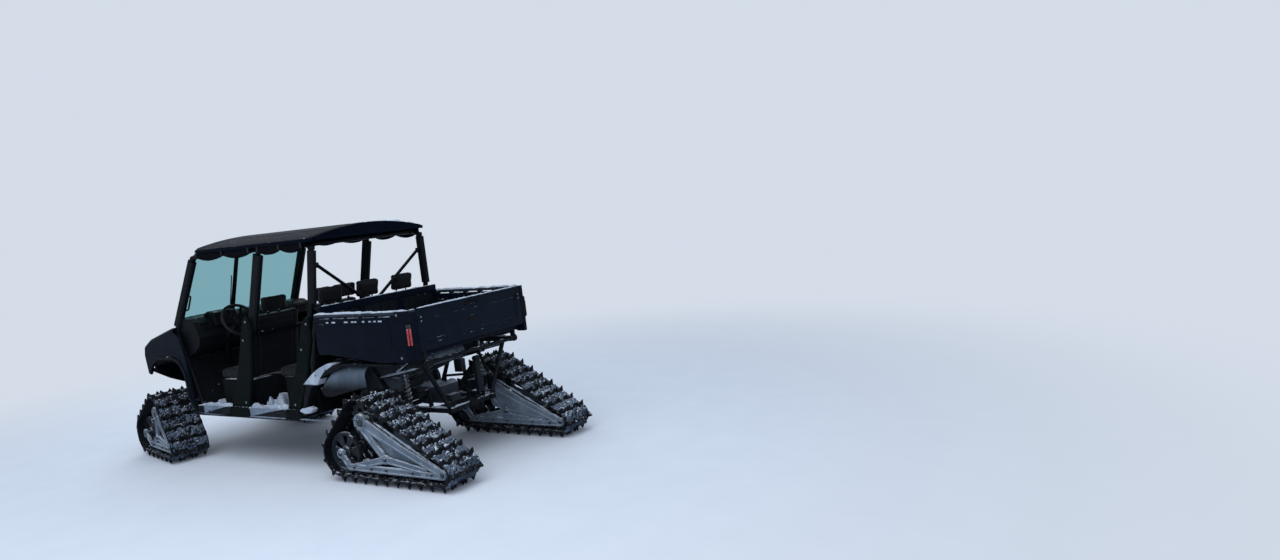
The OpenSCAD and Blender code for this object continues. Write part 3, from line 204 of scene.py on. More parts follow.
def settled_snow():
    """Snow that lies on upper faces and sticks in flecks to the others."""
    tree, given, result = shader_group(
        "Settled snow",
        {"Color": "595959", "Roughness": 0.5, "Lay": 0.5, "Splash": 0.0, "Scale": 12.0, "Snow": "c8d3de"},
        ("Color", "Roughness", "Height"))
    where = wire(tree, "ShaderNodeTexCoord").outputs
    up = height_of(tree, where["Normal"])
    up = maths(tree, "POWER", maths(tree, "MAXIMUM", up, 0.0), 1.6)
    coarse = noise_at(tree, where["Object"], given["Scale"], 4.0, 0.6)
    fine = noise_at(tree, where["Object"], times(tree, given["Scale"], 6.5), 3.0, 0.6)
    level = maths(tree, "MULTIPLY_ADD", up, given["Lay"], given["Splash"])
    level = maths(tree, "MULTIPLY_ADD", maths(tree, "SUBTRACT", coarse, 0.5), 1.5, level)
    level = maths(tree, "MULTIPLY_ADD", maths(tree, "SUBTRACT", fine, 0.5), 0.7, level)
    mask = stepped(tree, level, 0.43, 0.57)
    bright = stepped(tree, fine, 0.3, 0.75, 0.72, 1.05)
    snow = wire(tree, "ShaderNodeVectorMath", {0: given["Snow"], "Scale": bright},
                operation="SCALE").outputs[0]
    tree.links.new(mixed(tree, mask, given["Color"], snow), result["Color"])
    rough = maths(tree, "MULTIPLY_ADD", maths(tree, "SUBTRACT", 0.82, given["Roughness"]), mask,
                  given["Roughness"])
    tree.links.new(rough, result["Roughness"])
    tree.links.new(maths(tree, "MULTIPLY_ADD", fine, 0.35, times(tree, mask, 0.65)), result["Height"])
    return tree


def rubbed_edges():
    """Paint rubbed through along edges and corners."""
    tree, given, result = shader_group(
        "Rubbed edges",
        {"Color": "595959", "Rubbed": "aaaaaa", "Width": 0.004, "Amount": 0.5}, ("Color", "Mask"))
    where = on_object(tree)
    soft = wire(tree, "ShaderNodeBevel", {"Radius": given["Width"]}, samples=4).outputs[0]
    sharp = wire(tree, "ShaderNodeNewGeometry").outputs["Normal"]
    likeness = wire(tree, "ShaderNodeVectorMath", {0: soft, 1: sharp},
                    operation="DOT_PRODUCT").outputs["Value"]
    edge = stepped(tree, maths(tree, "SUBTRACT", 1.0, likeness), 0.01, 0.14)
    patchy = stepped(tree, noise_at(tree, where, 26.0, 4.0, 0.65), 0.36, 0.62)
    mask = times(tree, times(tree, edge, patchy), given["Amount"], clamp=True)
    tree.links.new(mixed(tree, mask, given["Color"], given["Rubbed"]), result["Color"])
    tree.links.new(mask, result["Mask"])
    return tree


def road_film():
    """A dull film of slush and salt, heavier towards the ground, with streaks and small scuffs."""
    tree, given, result = shader_group(
        "Road film",
        {"Color": "595959", "Film": "3a4550", "Amount": 0.4, "Top": 1.2}, ("Color", "Mask"))
    where = on_object(tree)
    low = stepped(tree, maths(tree, "SUBTRACT", given["Top"], height_of(tree, where)), -0.2, 0.9, 0.25, 1.0)
    streak = wire(tree, "ShaderNodeMapping", {"Vector": where, "Scale": (9.0, 9.0, 1.6)}).outputs[0]
    clouds = stepped(tree, noise_at(tree, streak, 1.0, 6.0, 0.62), 0.34, 0.72)
    specks = stepped(tree, noise_at(tree, where, 160.0, 2.0, 0.6), 0.58, 0.72)
    spread = maths(tree, "MAXIMUM", clouds, times(tree, specks, 0.8))
    mask = times(tree, times(tree, spread, low), given["Amount"], clamp=True)
    tree.links.new(mixed(tree, mask, given["Color"], given["Film"]), result["Color"])
    tree.links.new(mask, result["Mask"])
    return tree


def moulded_grain():
    """The pebbled skin of moulded plastic or cast metal."""
    tree, given, result = shader_group("Moulded grain", {"Scale": 400.0, "Depth": 0.5}, ("Height",))
    where = on_object(tree)
    pebbles = wire(tree, "ShaderNodeTexVoronoi",
                   {"Vector": where, "Scale": given["Scale"]}).outputs["Distance"]
    waves = noise_at(tree, where, times(tree, given["Scale"], 0.09), 3.0, 0.5)
    height = maths(tree, "MULTIPLY_ADD", pebbles, 0.4, waves)
    tree.links.new(times(tree, height, given["Depth"]), result["Height"])
    return tree


def woven_cloth():
    """Warp and weft threads across two directions of the piece."""
    tree, given, result = shader_group(
        "Woven cloth", {"Color": "595959", "Thread": "7c7c7c", "Scale": 180.0}, ("Color", "Height"))
    where = on_object(tree)
    axes = wire(tree, "ShaderNodeSeparateXYZ", {0: where}).outputs
    along = times(tree, maths(tree, "ADD", axes["X"], axes["Z"]), given["Scale"])
    across = times(tree, maths(tree, "SUBTRACT", axes["Y"], times(tree, axes["Z"], 0.6)), given["Scale"])
    warp = maths(tree, "ABSOLUTE", maths(tree, "SINE", times(tree, along, pi)))
    weft = maths(tree, "ABSOLUTE", maths(tree, "SINE", times(tree, across, pi)))
    height = times(tree, warp, weft)
    worn = noise_at(tree, where, 7.0, 4.0, 0.6)
    tone = maths(tree, "MULTIPLY_ADD", height, 0.6, times(tree, worn, 0.4), clamp=True)
    tree.links.new(mixed(tree, tone, given["Color"], given["Thread"]), result["Color"])
    tree.links.new(height, result["Height"])
    return tree


GROUPS = {}


def shared(tree, builder, values):
    """Places one of the shared groups in a material, with the material's own values."""
    if builder not in GROUPS:
        GROUPS[builder] = builder()
    node = tree.nodes.new("ShaderNodeGroup")
    node.node_tree = GROUPS[builder]
    for key, value in values.items():
        feed(tree, node.inputs[key], value)
    return node.outputs


FINISHES = {}


def blank_material(name):
    """A new material: the material, its tree, its shader and the point of the surface."""
    material = bpy.data.materials.new(name)
    material.use_nodes = True
    tree = material.node_tree
    return material, tree, tree.nodes["Principled BSDF"], on_object(tree)


def finish(name, colour, second, rough, metal=0.0, film=None, rub=None, snow=None, grain=None, weave=None,
           fade=None, specular=0.35, coat=0.0, sheen=0.0):
    """One material: base colour with clouds of a second tone, then what the other arguments ask for.

    weave is (threads, their colour, bump), grain (scale, bump), film (amount, top, colour), fade (from, to,
    colour below: painted shade that darkens the colour below a height), rub (colour, width, amount)
    and snow (what lies, what sticks, scale)."""
    if name in FINISHES:
        return FINISHES[name]
    material, tree, skin, where = blank_material(name)
    clouds = noise_at(tree, where, 5.0, 5.0, 0.6)
    colour = mixed(tree, stepped(tree, clouds, 0.35, 0.7, 0.0, 0.8), shade(colour), shade(second))
    uneven = stepped(tree, noise_at(tree, where, 38.0, 3.0, 0.6), 0.3, 0.7, rough * 0.88,
                     min(1, rough * 1.14))
    heights = []
    if weave:
        threads, thread, depth = weave
        cloth = shared(tree, woven_cloth, {"Color": colour, "Thread": shade(thread), "Scale": threads})
        colour = cloth["Color"]
        heights.append((cloth["Height"], depth))
    if grain:
        heights.append((shared(tree, moulded_grain, {"Scale": grain[0], "Depth": 1.0})["Height"], grain[1]))
    if film:
        amount, top, slush = film
        values = {"Color": colour, "Amount": amount, "Top": top, "Film": shade(slush)}
        colour = shared(tree, road_film, values)["Color"]
    # Painted shade: fade darkens the colour towards the given one below a height
    if fade:
        low, high, below = fade
        colour = mixed(tree, stepped(tree, height_of(tree, where), low, high), shade(below), colour)
    if rub:
        bare, width, amount = rub
        values = {"Color": colour, "Rubbed": shade(bare), "Width": width, "Amount": amount}
        colour = shared(tree, rubbed_edges, values)["Color"]
    if snow:
        lay, splash, scale = snow
        values = {"Color": colour, "Roughness": uneven, "Lay": lay, "Splash": splash, "Scale": scale}
        lying = shared(tree, settled_snow, values)
        colour, uneven = lying["Color"], lying["Roughness"]
        heights.append((lying["Height"], 0.006))
    tree.links.new(colour, skin.inputs["Base Color"])
    tree.links.new(uneven, skin.inputs["Roughness"])
    skin.inputs["Metallic"].default_value = metal
    skin.inputs["Specular IOR Level"].default_value = specular
    skin.inputs["Coat Weight"].default_value = coat
    skin.inputs["Coat Roughness"].default_value = 0.15
    skin.inputs["Sheen Weight"].default_value = sheen
    before = None
    for height, distance in heights:
        bump = wire(tree, "ShaderNodeBump", {"Height": height, "Distance": distance, "Strength": 0.7})
        if before:
            tree.links.new(before, bump.inputs["Normal"])
        before = bump.outputs[0]
    if before:
        tree.links.new(before, skin.inputs["Normal"])
    FINISHES[name] = material
    return material


def floor_paper():
    material, tree, skin, where = blank_material("floor paper")
    tone = mixed(tree, noise_at(tree, where, 3.0, 4.0), shade("c9d0da"), shade("d3d9e2"))
    tree.links.new(tone, skin.inputs["Base Color"])
    skin.inputs["Roughness"].default_value = 0.85
    skin.inputs["Specular IOR Level"].default_value = 0.2
    # Far from the vehicle the floor runs out into the backdrop's colour
    axes = wire(tree, "ShaderNodeSeparateXYZ", {0: where}).outputs
    squares = maths(tree, "ADD", times(tree, axes["X"], axes["X"]), times(tree, axes["Y"], axes["Y"]))
    away = maths(tree, "SQRT", squares)
    path = wire(tree, "ShaderNodeLightPath").outputs
    seen = maths(tree, "MAXIMUM", path["Is Camera Ray"], path["Is Glossy Ray"])
    seen = maths(tree, "MAXIMUM", seen, path["Is Transmission Ray"])
    far = times(tree, stepped(tree, away, 2.6, 9.5), seen)
    glow = wire(tree, "ShaderNodeEmission", {"Color": (*BACKDROP, 1), "Strength": 1.0})
    blend = wire(tree, "ShaderNodeMixShader", {0: far, 1: skin.outputs[0], 2: glow.outputs[0]})
    tree.links.new(blend.outputs[0], tree.nodes["Material Output"].inputs["Surface"])
    return material


def panel_paint():
    return finish("panel paint", "020814", "040d1c", 0.45, film=(0.10, 1.1, "141f2c"),
                  rub=("26333f", 0.004, 0.3), snow=(0.33, -0.05, 9.0), grain=(900, 0.0004), specular=0.05)


# Painted light: the same body paint as the panels, made a little lighter and more teal where the tailgate
# faces the light; its film, rubbed edges and snow are real
def lit_tailgate_paint():
    return finish("tailgate paint with painted light", "030d18", "051321", 0.46, film=(0.12, 1.35, "172431"),
                  rub=("33404c", 0.006, 0.4), snow=(0.4, -0.05, 8.0), grain=(900, 0.0004), specular=0.07)


def cage_paint():
    return finish("cage paint", "010308", "04070c", 0.4, film=(0.10, 1.4, "161d25"),
                  rub=("20272e", 0.004, 0.2), snow=(0.32, -0.03, 14.0), grain=(1500, 0.0002), specular=0.08)


def roof_plastic():
    return finish("roof plastic", "020712", "040b18", 0.7, rub=("1c2733", 0.005, 0.25),
                  grain=(1000, 0.0003), specular=0.03)


def moulded_black():
    return finish("moulded black", "020509", "050a10", 0.6, film=(0.14, 1.2, "18212a"),
                  snow=(0.32, -0.03, 10.0), grain=(700, 0.0006), specular=0.12)


def cover_plastic():
    return finish("cover plastic", "010806", "040d0d", 0.6, film=(0.08, 1.3, "141f24"),
                  rub=("1c2a29", 0.005, 0.25), snow=(0.3, -0.03, 10.0), grain=(700, 0.0006), specular=0.06)


def chassis_paint():
    return finish("chassis paint", "030509", "090c11", 0.55, film=(0.35, 1.2, "232c36"),
                  rub=("3b3a38", 0.005, 0.25), snow=(0.38, 0.0, 12.0), specular=0.12)


def floor_liner():
    return finish("floor liner", "04070b", "0a0f14", 0.75, snow=(0.55, -0.04, 7.0), grain=(260, 0.0012),
                  specular=0.1)


def sill_plastic():
    return finish("sill plastic", "04080c", "0a0f15", 0.6, film=(0.3, 1.0, "242e38"),
                  snow=(0.78, 0.0, 8.0), grain=(500, 0.0008), specular=0.14)


def bed_liner():
    return finish("bed liner", "03070b", "080e14", 0.65, film=(0.15, 1.5, "1b252e"),
                  snow=(0.5, -0.03, 6.0), grain=(380, 0.001), specular=0.12)


def snow_lined():
    return finish("snow lined rail", "131b24", "2a3540", 0.6, snow=(0.95, 0.10, 16.0), specular=0.2)


def belt_rubber():
    return finish("belt rubber", "020408", "06090e", 0.65, film=(0.3, 1.0, "1a222c"),
                  snow=(0.25, 0.12, 34.0), grain=(300, 0.001), specular=0.15)


def tyre_rubber():
    return finish("tyre rubber", "07090c", "0e1116", 0.6, film=(0.6, 1.0, "333d48"),
                  snow=(0.5, 0.08, 24.0), specular=0.25)


def packed_snow():
    return finish("packed snow", "8b96a6", "b9c3d0", 0.8, snow=(0.34, 0.16, 34.0), specular=0.25)


def belt_snow():
    return finish("belt snow", "353f4e", "6a7687", 0.8, snow=(0.62, 0.0, 26.0), specular=0.2)


def cast_grey():
    return finish("cast grey", "55606f", "76828f", 0.6, film=(0.3, 1.0, "39434e"),
                  rub=("8b98a6", 0.008, 0.5), snow=(0.6, 0.16, 11.0), grain=(420, 0.0008), specular=0.22)


def drive_steel():
    return finish("drive steel", "2b3138", "444c55", 0.5, metal=0.4, film=(0.6, 1.2, "20262c"),
                  snow=(0.7, 0.12, 16.0), grain=(500, 0.0006), specular=0.35)


def muffler_steel():
    return finish("muffler steel", "3f4a54", "55616c", 0.5, metal=0.15, film=(0.25, 1.2, "2a323a"),
                  snow=(0.25, -0.06, 12.0), grain=(900, 0.0003), specular=0.4)


def bare_steel():
    return finish("bare steel", "7c8288", "969ca2", 0.3, metal=0.95)


def spring_paint():
    return finish("spring paint", "151a20", "242b33", 0.4, snow=(0.5, 0.05, 18.0), specular=0.4)


def seat_vinyl():
    return finish("seat vinyl", "030509", "070a0f", 0.55, snow=(0.2, -0.04, 9.0),
                  grain=(620, 0.0006), specular=0.14, sheen=0.05)


def seat_cloth():
    return finish("seat cloth", "04060a", "080b10", 0.8, weave=(260, "10151c", 0.0008), specular=0.1,
                  sheen=0.08)


def curtain_cloth():
    return finish("curtain cloth", "020307", "04060b", 0.82, weave=(320, "07090f", 0.0006),
                  snow=(0.06, -0.1, 12.0), specular=0.05)


def grip_rubber():
    return finish("grip rubber", "05060a", "0b0d12", 0.6, grain=(800, 0.0005), specular=0.25)


def chrome_cup():
    return finish("lamp reflector", "c6ccd2", "dde2e6", 0.12, metal=1.0)


def web_strap():
    return finish("web strap", "0c0e12", "14171c", 0.8, weave=(700, "20242b", 0.0005), specular=0.2)


def clear_material(name, colour, rough, ior=1.45):
    """Glass or a clear lens: constants on the shader's own sockets, dust from a noise on the roughness."""
    if name in FINISHES:
        return FINISHES[name]
    material, tree, skin, where = blank_material(name)
    skin.inputs["Base Color"].default_value = (*shade(colour), 1)
    dust = stepped(tree, noise_at(tree, where, 18.0, 5.0, 0.65), 0.5, 0.75, rough, rough * 2)
    tree.links.new(dust, skin.inputs["Roughness"])
    skin.inputs["Transmission Weight"].default_value = 1
    skin.inputs["IOR"].default_value = ior
    FINISHES[name] = material
    return material


def screen_glass():
    return clear_material("tinted glass", "94c2c4", 0.004, ior=1.08)


def clear_lens():
    return clear_material("clear lens", "dfe6ea", 0.05)


def red_lens():
    return finish("red lens", "7a0f1c", "b01626", 0.18, coat=0.6, specular=0.5)


# Shapes: each function gives (points, faces) in millimetres from the rear axle

def from_bmesh(bm):
    bm.verts.index_update()
    shape = [tuple(v.co) for v in bm.verts], [tuple(v.index for v in f.verts) for f in bm.faces]
    bm.free()
    return shape


def block(x0, x1, y0, y1, z0, z1, edge=3.0, steps=2):
    bm = bmesh.new()
    bmesh.ops.create_cube(bm, size=1)
    for v in bm.verts:
        v.co = ((x0, x1)[v.co.x > 0], (y0, y1)[v.co.y > 0], (z0, z1)[v.co.z > 0])
    edge = min(edge, 0.45 * min(x1 - x0, y1 - y0, z1 - z0))
    if edge > 0:
        bmesh.ops.bevel(bm, geom=bm.edges[:], offset=edge, segments=steps, profile=0.6, affect="EDGES")
    return from_bmesh(bm)


def plate(outlines, y0, y1, edge=3.0, steps=1):
    """Outlines in the X-Z plane, the first outside and the rest holes, from y0 to y1."""
    curve = bpy.data.curves.new("outline", "CURVE")
    curve.dimensions, curve.fill_mode = "2D", "BOTH"
    for outline in outlines if isinstance(outlines[0][0], (tuple, list)) else [outlines]:
        spline = curve.splines.new("POLY")
        spline.points.add(len(outline) - 1)
        for point, (u, v) in zip(spline.points, outline):
            point.co = (u, v, 0, 1)
        spline.use_cyclic_u = True
    half = abs(y1 - y0) / 2
    edge = min(edge, half * 0.9)
    curve.extrude, curve.bevel_depth, curve.bevel_resolution, curve.offset = half - edge, edge, steps, -edge
    holder = bpy.data.objects.new("outline", curve)
    mesh = bpy.data.meshes.new_from_object(holder)
    middle = (y0 + y1) / 2
    verts = [(v.co.x, middle - v.co.z, v.co.y) for v in mesh.vertices]
    shape = verts, [tuple(p.vertices) for p in mesh.polygons]
    bpy.data.objects.remove(holder)
    bpy.data.curves.remove(curve)
    bpy.data.meshes.remove(mesh)
    return shape


def moved(shape, matrix):
    """The shape placed by a 4 x 4 matrix whose lengths are millimetres."""
    return [tuple(matrix @ Vector(p)) for p in shape[0]], shape[1]


def bent(points, radius, steps=5, closed=False):
    """The path with its corners rounded."""
    points = [Vector(p) for p in points]
    out = []
    count = len(points)
    for i, here in enumerate(points):
        if not closed and i in (0, count - 1):
            out.append(here)
            continue
        back, ahead = points[i - 1] - here, points[(i + 1) % count] - here
        reach = min(radius, back.length * 0.48, ahead.length * 0.48)
        start, end = here + back.normalized() * reach, here + ahead.normalized() * reach
        for k in range(steps + 1):
            t = k / steps
            out.append(start * (1 - t) ** 2 + here * 2 * t * (1 - t) + end * t * t)
    return out


def tube(points, radius, sides=14, closed=False, section=None, ends=True, side=None):
    """A round bar along a path; radius is a list where it changes, section another outline (across, up)."""
    points = [Vector(p) for p in points]
    count = len(points)
    verts, faces = [], []
    outline = section or [(cos(2 * pi * k / sides), sin(2 * pi * k / sides)) for k in range(sides)]
    width = len(outline)
    for i, here in enumerate(points):
        ahead = points[(i + 1) % count] if closed or i < count - 1 else here
        back = points[i - 1] if closed or i > 0 else here
        along = (ahead - back).normalized()
        if side is None:
            side = along.cross(Vector((0, 0, 1)) if abs(along.z) < 0.9 else Vector((1, 0, 0)))
        side = (side - along * side.dot(along)).normalized()
        up = side.cross(along)
        size = 1.0 if section else (radius[i] if isinstance(radius, (list, tuple)) else radius)
        verts += [tuple(here + (side * u + up * v) * size) for u, v in outline]
    rows = count if closed else count - 1
    for i in range(rows):
        a, b = i * width, ((i + 1) % count) * width
        for k in range(width):
            m = (k + 1) % width
            faces.append((a + k, a + m, b + m, b + k))
    if not closed and ends:
        faces.append(tuple(reversed(range(width))))
        faces.append(tuple(range((count - 1) * width, count * width)))
    return verts, faces


def lathe(profile, centre, axis="y", steps=32, closed=False):
    """Turns (radius, height) pairs about an axis through centre; closed joins the last pair to the first."""
    verts, faces, rings = [], [], []
    for radius, height in profile:
        if radius < 1e-6:
            rings.append([len(verts)] * steps)
            verts.append((0, 0, height))
        else:
            rings.append(list(range(len(verts), len(verts) + steps)))
            verts += [(radius * cos(2 * pi * k / steps), radius * sin(2 * pi * k / steps), height)
                      for k in range(steps)]
    pairs = list(zip(rings, rings[1:] + rings[:1])) if closed else list(zip(rings, rings[1:]))
    for low, high in pairs:
        for k in range(steps):
            m = (k + 1) % steps
            corners = []
            for index in (low[k], low[m], high[m], high[k]):
                if index not in corners:
                    corners.append(index)
            if len(corners) > 2:
                faces.append(tuple(corners))
    if isinstance(axis, str):
        turn = {"x": Matrix.Rotation(pi / 2, 4, "Y"), "y": Matrix.Rotation(-pi / 2, 4, "X"),
                "z": Matrix.Identity(4)}[axis]
    else:
        turn = Vector((0, 0, 1)).rotation_difference(Vector(axis)).to_matrix().to_4x4()
    return moved((verts, faces), Matrix.Translation(Vector(centre)) @ turn)


def rod(radius, half, centre, axis="y", steps=16):
    """A plain round bar, as long on each side of its middle as half."""
    return lathe([(0, -half), (radius, -half), (radius, half), (0, half)], centre, axis, steps)


def loft(sections, caps=True):
    """Joins closed outlines of equal length, one after another."""
    width = len(sections[0])
    verts = [tuple(p) for outline in sections for p in outline]
    faces = []
    for i in range(len(sections) - 1):
        a, b = i * width, (i + 1) * width
        for k in range(width):
            m = (k + 1) % width
            faces.append((a + k, a + m, b + m, b + k))
    if caps:
        faces.append(tuple(reversed(range(width))))
        faces.append(tuple(range((len(sections) - 1) * width, len(sections) * width)))
    return verts, faces


def shell(surface, across, along, thickness):
    """A thin closed skin over surface(u, v), u and v from 0 to 1; thickness is a vector."""
    drop = Vector(thickness)
    top = [[Vector(surface(i / across, j / along)) for j in range(along + 1)] for i in range(across + 1)]
    verts = [tuple(p) for row in top for p in row] + [tuple(p + drop) for row in top for p in row]
    size, step = (across + 1) * (along + 1), along + 1
    faces = []
    for i in range(across):
        for j in range(along):
            a, b, c, d = i * step + j, (i + 1) * step + j, (i + 1) * step + j + 1, i * step + j + 1
            faces += [(a, b, c, d), (a + size, d + size, c + size, b + size)]
    rim = [j for j in range(along)] + [i * step + along for i in range(across)]
    rim += [across * step + j for j in range(along, 0, -1)] + [i * step for i in range(across, 0, -1)]
    for k, a in enumerate(rim):
        b = rim[(k + 1) % len(rim)]
        faces.append((a, b, b + size, a + size))
    return verts, faces


def round_outline(w, h, r, steps=3, cx=0.0, cz=0.0):
    """A rectangle with round corners about (cx, cz)."""
    out = []
    for x, z, start in ((w / 2 - r, h / 2 - r, 0), (-w / 2 + r, h / 2 - r, 90),
                        (-w / 2 + r, -h / 2 + r, 180), (w / 2 - r, -h / 2 + r, 270)):
        for k in range(steps + 1):
            angle = radians(start + 90 * k / steps)
            out.append((cx + x + r * cos(angle), cz + z + r * sin(angle)))
    return out


def ring_outline(radius, steps=24, cx=0.0, cz=0.0):
    return [(cx + radius * cos(2 * pi * k / steps), cz + radius * sin(2 * pi * k / steps))
            for k in range(steps)]


def rounded_path(points, radius, steps=4):
    """An outline of (x, z) pairs with its corners rounded."""
    return [(p.x, p.z) for p in bent([(x, 0, z) for x, z in points], radius, steps, True)]


def hex_bolt(place, axis, across=18.0, height=8.0):
    """A bolt head on its washer."""
    washer, rings = lathe([(0, 0), (across * 0.75, 0), (across * 0.75, 1.6), (0, 1.6)], place, axis, 14)
    side = [(across * 0.56, 1), (across * 0.56, height - 1.5), (across * 0.48, height)]
    head, flats = lathe([(0, 1)] + side + [(0, height)], place, axis, 6)
    return washer + head, rings + [tuple(i + len(washer) for i in f) for f in flats]


def in_metres(points):
    """Points in millimetres from the rear axle, in the shared frame's metres."""
    return [((x + AXLE_X) / 1000, y / 1000, z / 1000) for x, y, z in points]


def outward_mesh(name, points, faces):
    """A mesh whose faces all point outwards."""
    mesh = bpy.data.meshes.new(name)
    mesh.from_pydata(points, [], faces)
    bm = bmesh.new()
    bm.from_mesh(mesh)
    bmesh.ops.recalc_face_normals(bm, faces=bm.faces[:])
    bm.to_mesh(mesh)
    bm.free()
    return mesh


class Piece:
    """Gathers shapes into one mesh with its finishes; place puts the whole piece in the vehicle."""

    def __init__(self, name, body="chassis", place=None):
        self.name, self.body, self.place = name, body, place
        self.points, self.faces, self.slots, self.finishes = [], [], [], []

    def add(self, shape, material):
        """Adds a shape in a finish."""
        points, faces = shape
        base = len(self.points)
        self.points += points
        self.faces += [tuple(i + base for i in f) for f in faces]
        if material not in self.finishes:
            self.finishes.append(material)
        self.slots += [self.finishes.index(material)] * len(faces)

    def pair(self, shape, material):
        """Adds a shape and its mirror image on the vehicle's other side."""
        self.add(shape, material)
        self.add(([(x, -y, z) for x, y, z in shape[0]], [tuple(reversed(f)) for f in shape[1]]), material)

    def done(self, *stands_for, sharp=35.0, slot=None):
        """Puts the piece in the scene, in place of the CAD nodes that it stands for."""
        if self.place:
            self.points = [tuple(self.place @ Vector(p)) for p in self.points]
        mesh = outward_mesh(self.name, in_metres(self.points), self.faces)
        for material in self.finishes:
            mesh.materials.append(material)
        mesh.polygons.foreach_set("material_index", self.slots)
        mesh.polygons.foreach_set("use_smooth", [True] * len(mesh.polygons))
        mesh.set_sharp_from_angle(angle=radians(sharp))
        thing = bpy.data.objects.new(self.name, mesh)
        bpy.context.scene.collection.objects.link(thing)
        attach(thing, self.body)
        if stands_for:
            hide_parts(*stands_for)
        return thing


# Tracks. A track is drawn about its own axle, with Y from the belt's middle, and then placed.

def track_circles(sizes):
    return [(sizes[4], sizes[5] + SHOE, sizes[5]), (sizes[2], sizes[3] + SHOE, sizes[3]),
            (0, sizes[0], sizes[1])]


class BeltLoop:
    """The belt's inner line: arcs round three circles and the straight runs between them."""

    def __init__(self, sizes):
        circles = track_circles(sizes)
        self.runs = []
        for i, here in enumerate(circles):
            start = self.tangent(circles[i - 1], here)
            end = self.tangent(here, circles[(i + 1) % 3])
            while end < start:
                end += 360
            self.runs.append((here, start, end))
        self.lengths = []
        for i, (here, start, end) in enumerate(self.runs):
            after, first = self.runs[(i + 1) % 3][0], self.runs[(i + 1) % 3][1]
            p, q = self.on(here, here[2], end), self.on(after, after[2], first)
            self.lengths.append((radians(end - start) * here[2], hypot(q[0] - p[0], q[1] - p[1])))
        self.total = sum(a + b for a, b in self.lengths)

    @staticmethod
    def tangent(a, b):
        dx, dz = b[0] - a[0], b[1] - a[1]
        return degrees(atan2(dz, dx)) - 90 + degrees(asin((a[2] - b[2]) / hypot(dx, dz)))

    @staticmethod
    def on(circle, radius, angle):
        return circle[0] + radius * cos(radians(angle)), circle[1] + radius * sin(radians(angle))

    def at(self, s, h):
        """The point (x, z) at distance s along the line, h outside it."""
        s %= self.total
        for i, (here, start, end) in enumerate(self.runs):
            arc, run = self.lengths[i]
            if s <= arc:
                return self.on(here, here[2] + h, start + degrees(s / here[2]))
            if s <= arc + run:
                k = (s - arc) / run
                after, first, _ = self.runs[(i + 1) % 3]
                p, q = self.on(here, here[2] + h, end), self.on(after, after[2] + h, first)
                return p[0] + (q[0] - p[0]) * k, p[1] + (q[1] - p[1]) * k
            s -= arc + run
        return self.on(self.runs[0][0], self.runs[0][0][2] + h, self.runs[0][1])

    def line(self, count, h, phase=0.0):
        return [self.at(self.total * (i + phase) / count, h) for i in range(count)]


def front_place(side):
    turn = Matrix.Rotation(radians(-side * STEER), 4, "Z")
    mirror = Matrix.Diagonal((1, side, 1, 1))
    kingpin = Matrix.Translation((WHEELBASE, KINGPIN_Y, 0))
    return mirror @ kingpin @ turn @ Matrix.Translation((0, TRACK_Y - KINGPIN_Y, 0))


def rear_place(side):
    return Matrix.Diagonal((1, side, 1, 1)) @ Matrix.Translation((0, TRACK_Y, 0))


TRACKS = (
    ("rear_left", REAR_SET, REAR_ROLLERS, rear_place(1), "chassis"),
    ("rear_right", REAR_SET, REAR_ROLLERS, rear_place(-1), "chassis"),
    ("front_left", FRONT_SET, FRONT_ROLLERS, front_place(1), "front_left_unit"),
    ("front_right", FRONT_SET, FRONT_ROLLERS, front_place(-1), "front_right_unit"),
)


def lug_row_tree():
    """Stands copies of one lug at even steps along a closed line."""
    tree = bpy.data.node_groups.new("Lug row", "GeometryNodeTree")
    face = tree.interface
    for title, kind in (("Line", "NodeSocketGeometry"), ("Lug", "NodeSocketObject"),
                        ("Count", "NodeSocketInt"),
                        ("Shift", "NodeSocketFloat"), ("Finish", "NodeSocketMaterial")):
        face.new_socket(title, in_out="INPUT", socket_type=kind)
    face.new_socket("Mesh", in_out="OUTPUT", socket_type="NodeSocketGeometry")
    given, result = tree.nodes.new("NodeGroupInput").outputs, tree.nodes.new("NodeGroupOutput").inputs
    steps = wire(tree, "GeometryNodeCurveToPoints", {"Curve": given["Line"], "Count": given["Count"]},
                 mode="COUNT")
    turn = wire(tree, "FunctionNodeAxesToRotation", {0: steps.outputs["Tangent"], 1: (0, 1, 0)},
                primary_axis="X", secondary_axis="Y")
    lug = wire(tree, "GeometryNodeObjectInfo", {"Object": given["Lug"]})
    placed = wire(tree, "GeometryNodeInstanceOnPoints",
                  {"Points": steps.outputs["Points"], "Instance": lug.outputs["Geometry"],
                   "Rotation": turn.outputs[0]})
    across = wire(tree, "ShaderNodeCombineXYZ", {"Y": given["Shift"]})
    slid = wire(tree, "GeometryNodeTranslateInstances",
                {"Instances": placed.outputs[0], "Translation": across.outputs[0]})
    slid.inputs["Local Space"].default_value = False
    real = wire(tree, "GeometryNodeRealizeInstances", {"Geometry": slid.outputs[0]})
    painted = wire(tree, "GeometryNodeSetMaterial",
                   {"Geometry": real.outputs[0], "Material": given["Finish"]})
    tree.links.new(painted.outputs[0], result["Mesh"])
    return tree


def holder_of(name, shape):
    """A loose object that a tree copies, in metres."""
    mesh = outward_mesh(name, [tuple(c / 1000 for c in p) for p in shape[0]], shape[1])
    thing = bpy.data.objects.new(name, mesh)
    bpy.context.scene.collection.objects.link(thing)
    return thing


def grow(source, tree, values):
    """Runs a geometry tree on an object and gives back its result as points and faces in millimetres."""
    change = source.modifiers.new("grow", "NODES")
    change.node_group = tree
    for item in tree.interface.items_tree:
        if item.item_type == "SOCKET" and item.in_out == "INPUT" and item.name in values:
            change[item.identifier] = values[item.name]
    graph = bpy.context.evaluated_depsgraph_get()
    mesh = bpy.data.meshes.new_from_object(source.evaluated_get(graph), depsgraph=graph)
    verts = [tuple(c * 1000 for c in v.co) for v in mesh.vertices]
    shape = verts, [tuple(p.vertices) for p in mesh.polygons]
    source.modifiers.remove(change)
    bpy.data.meshes.remove(mesh)
    return shape


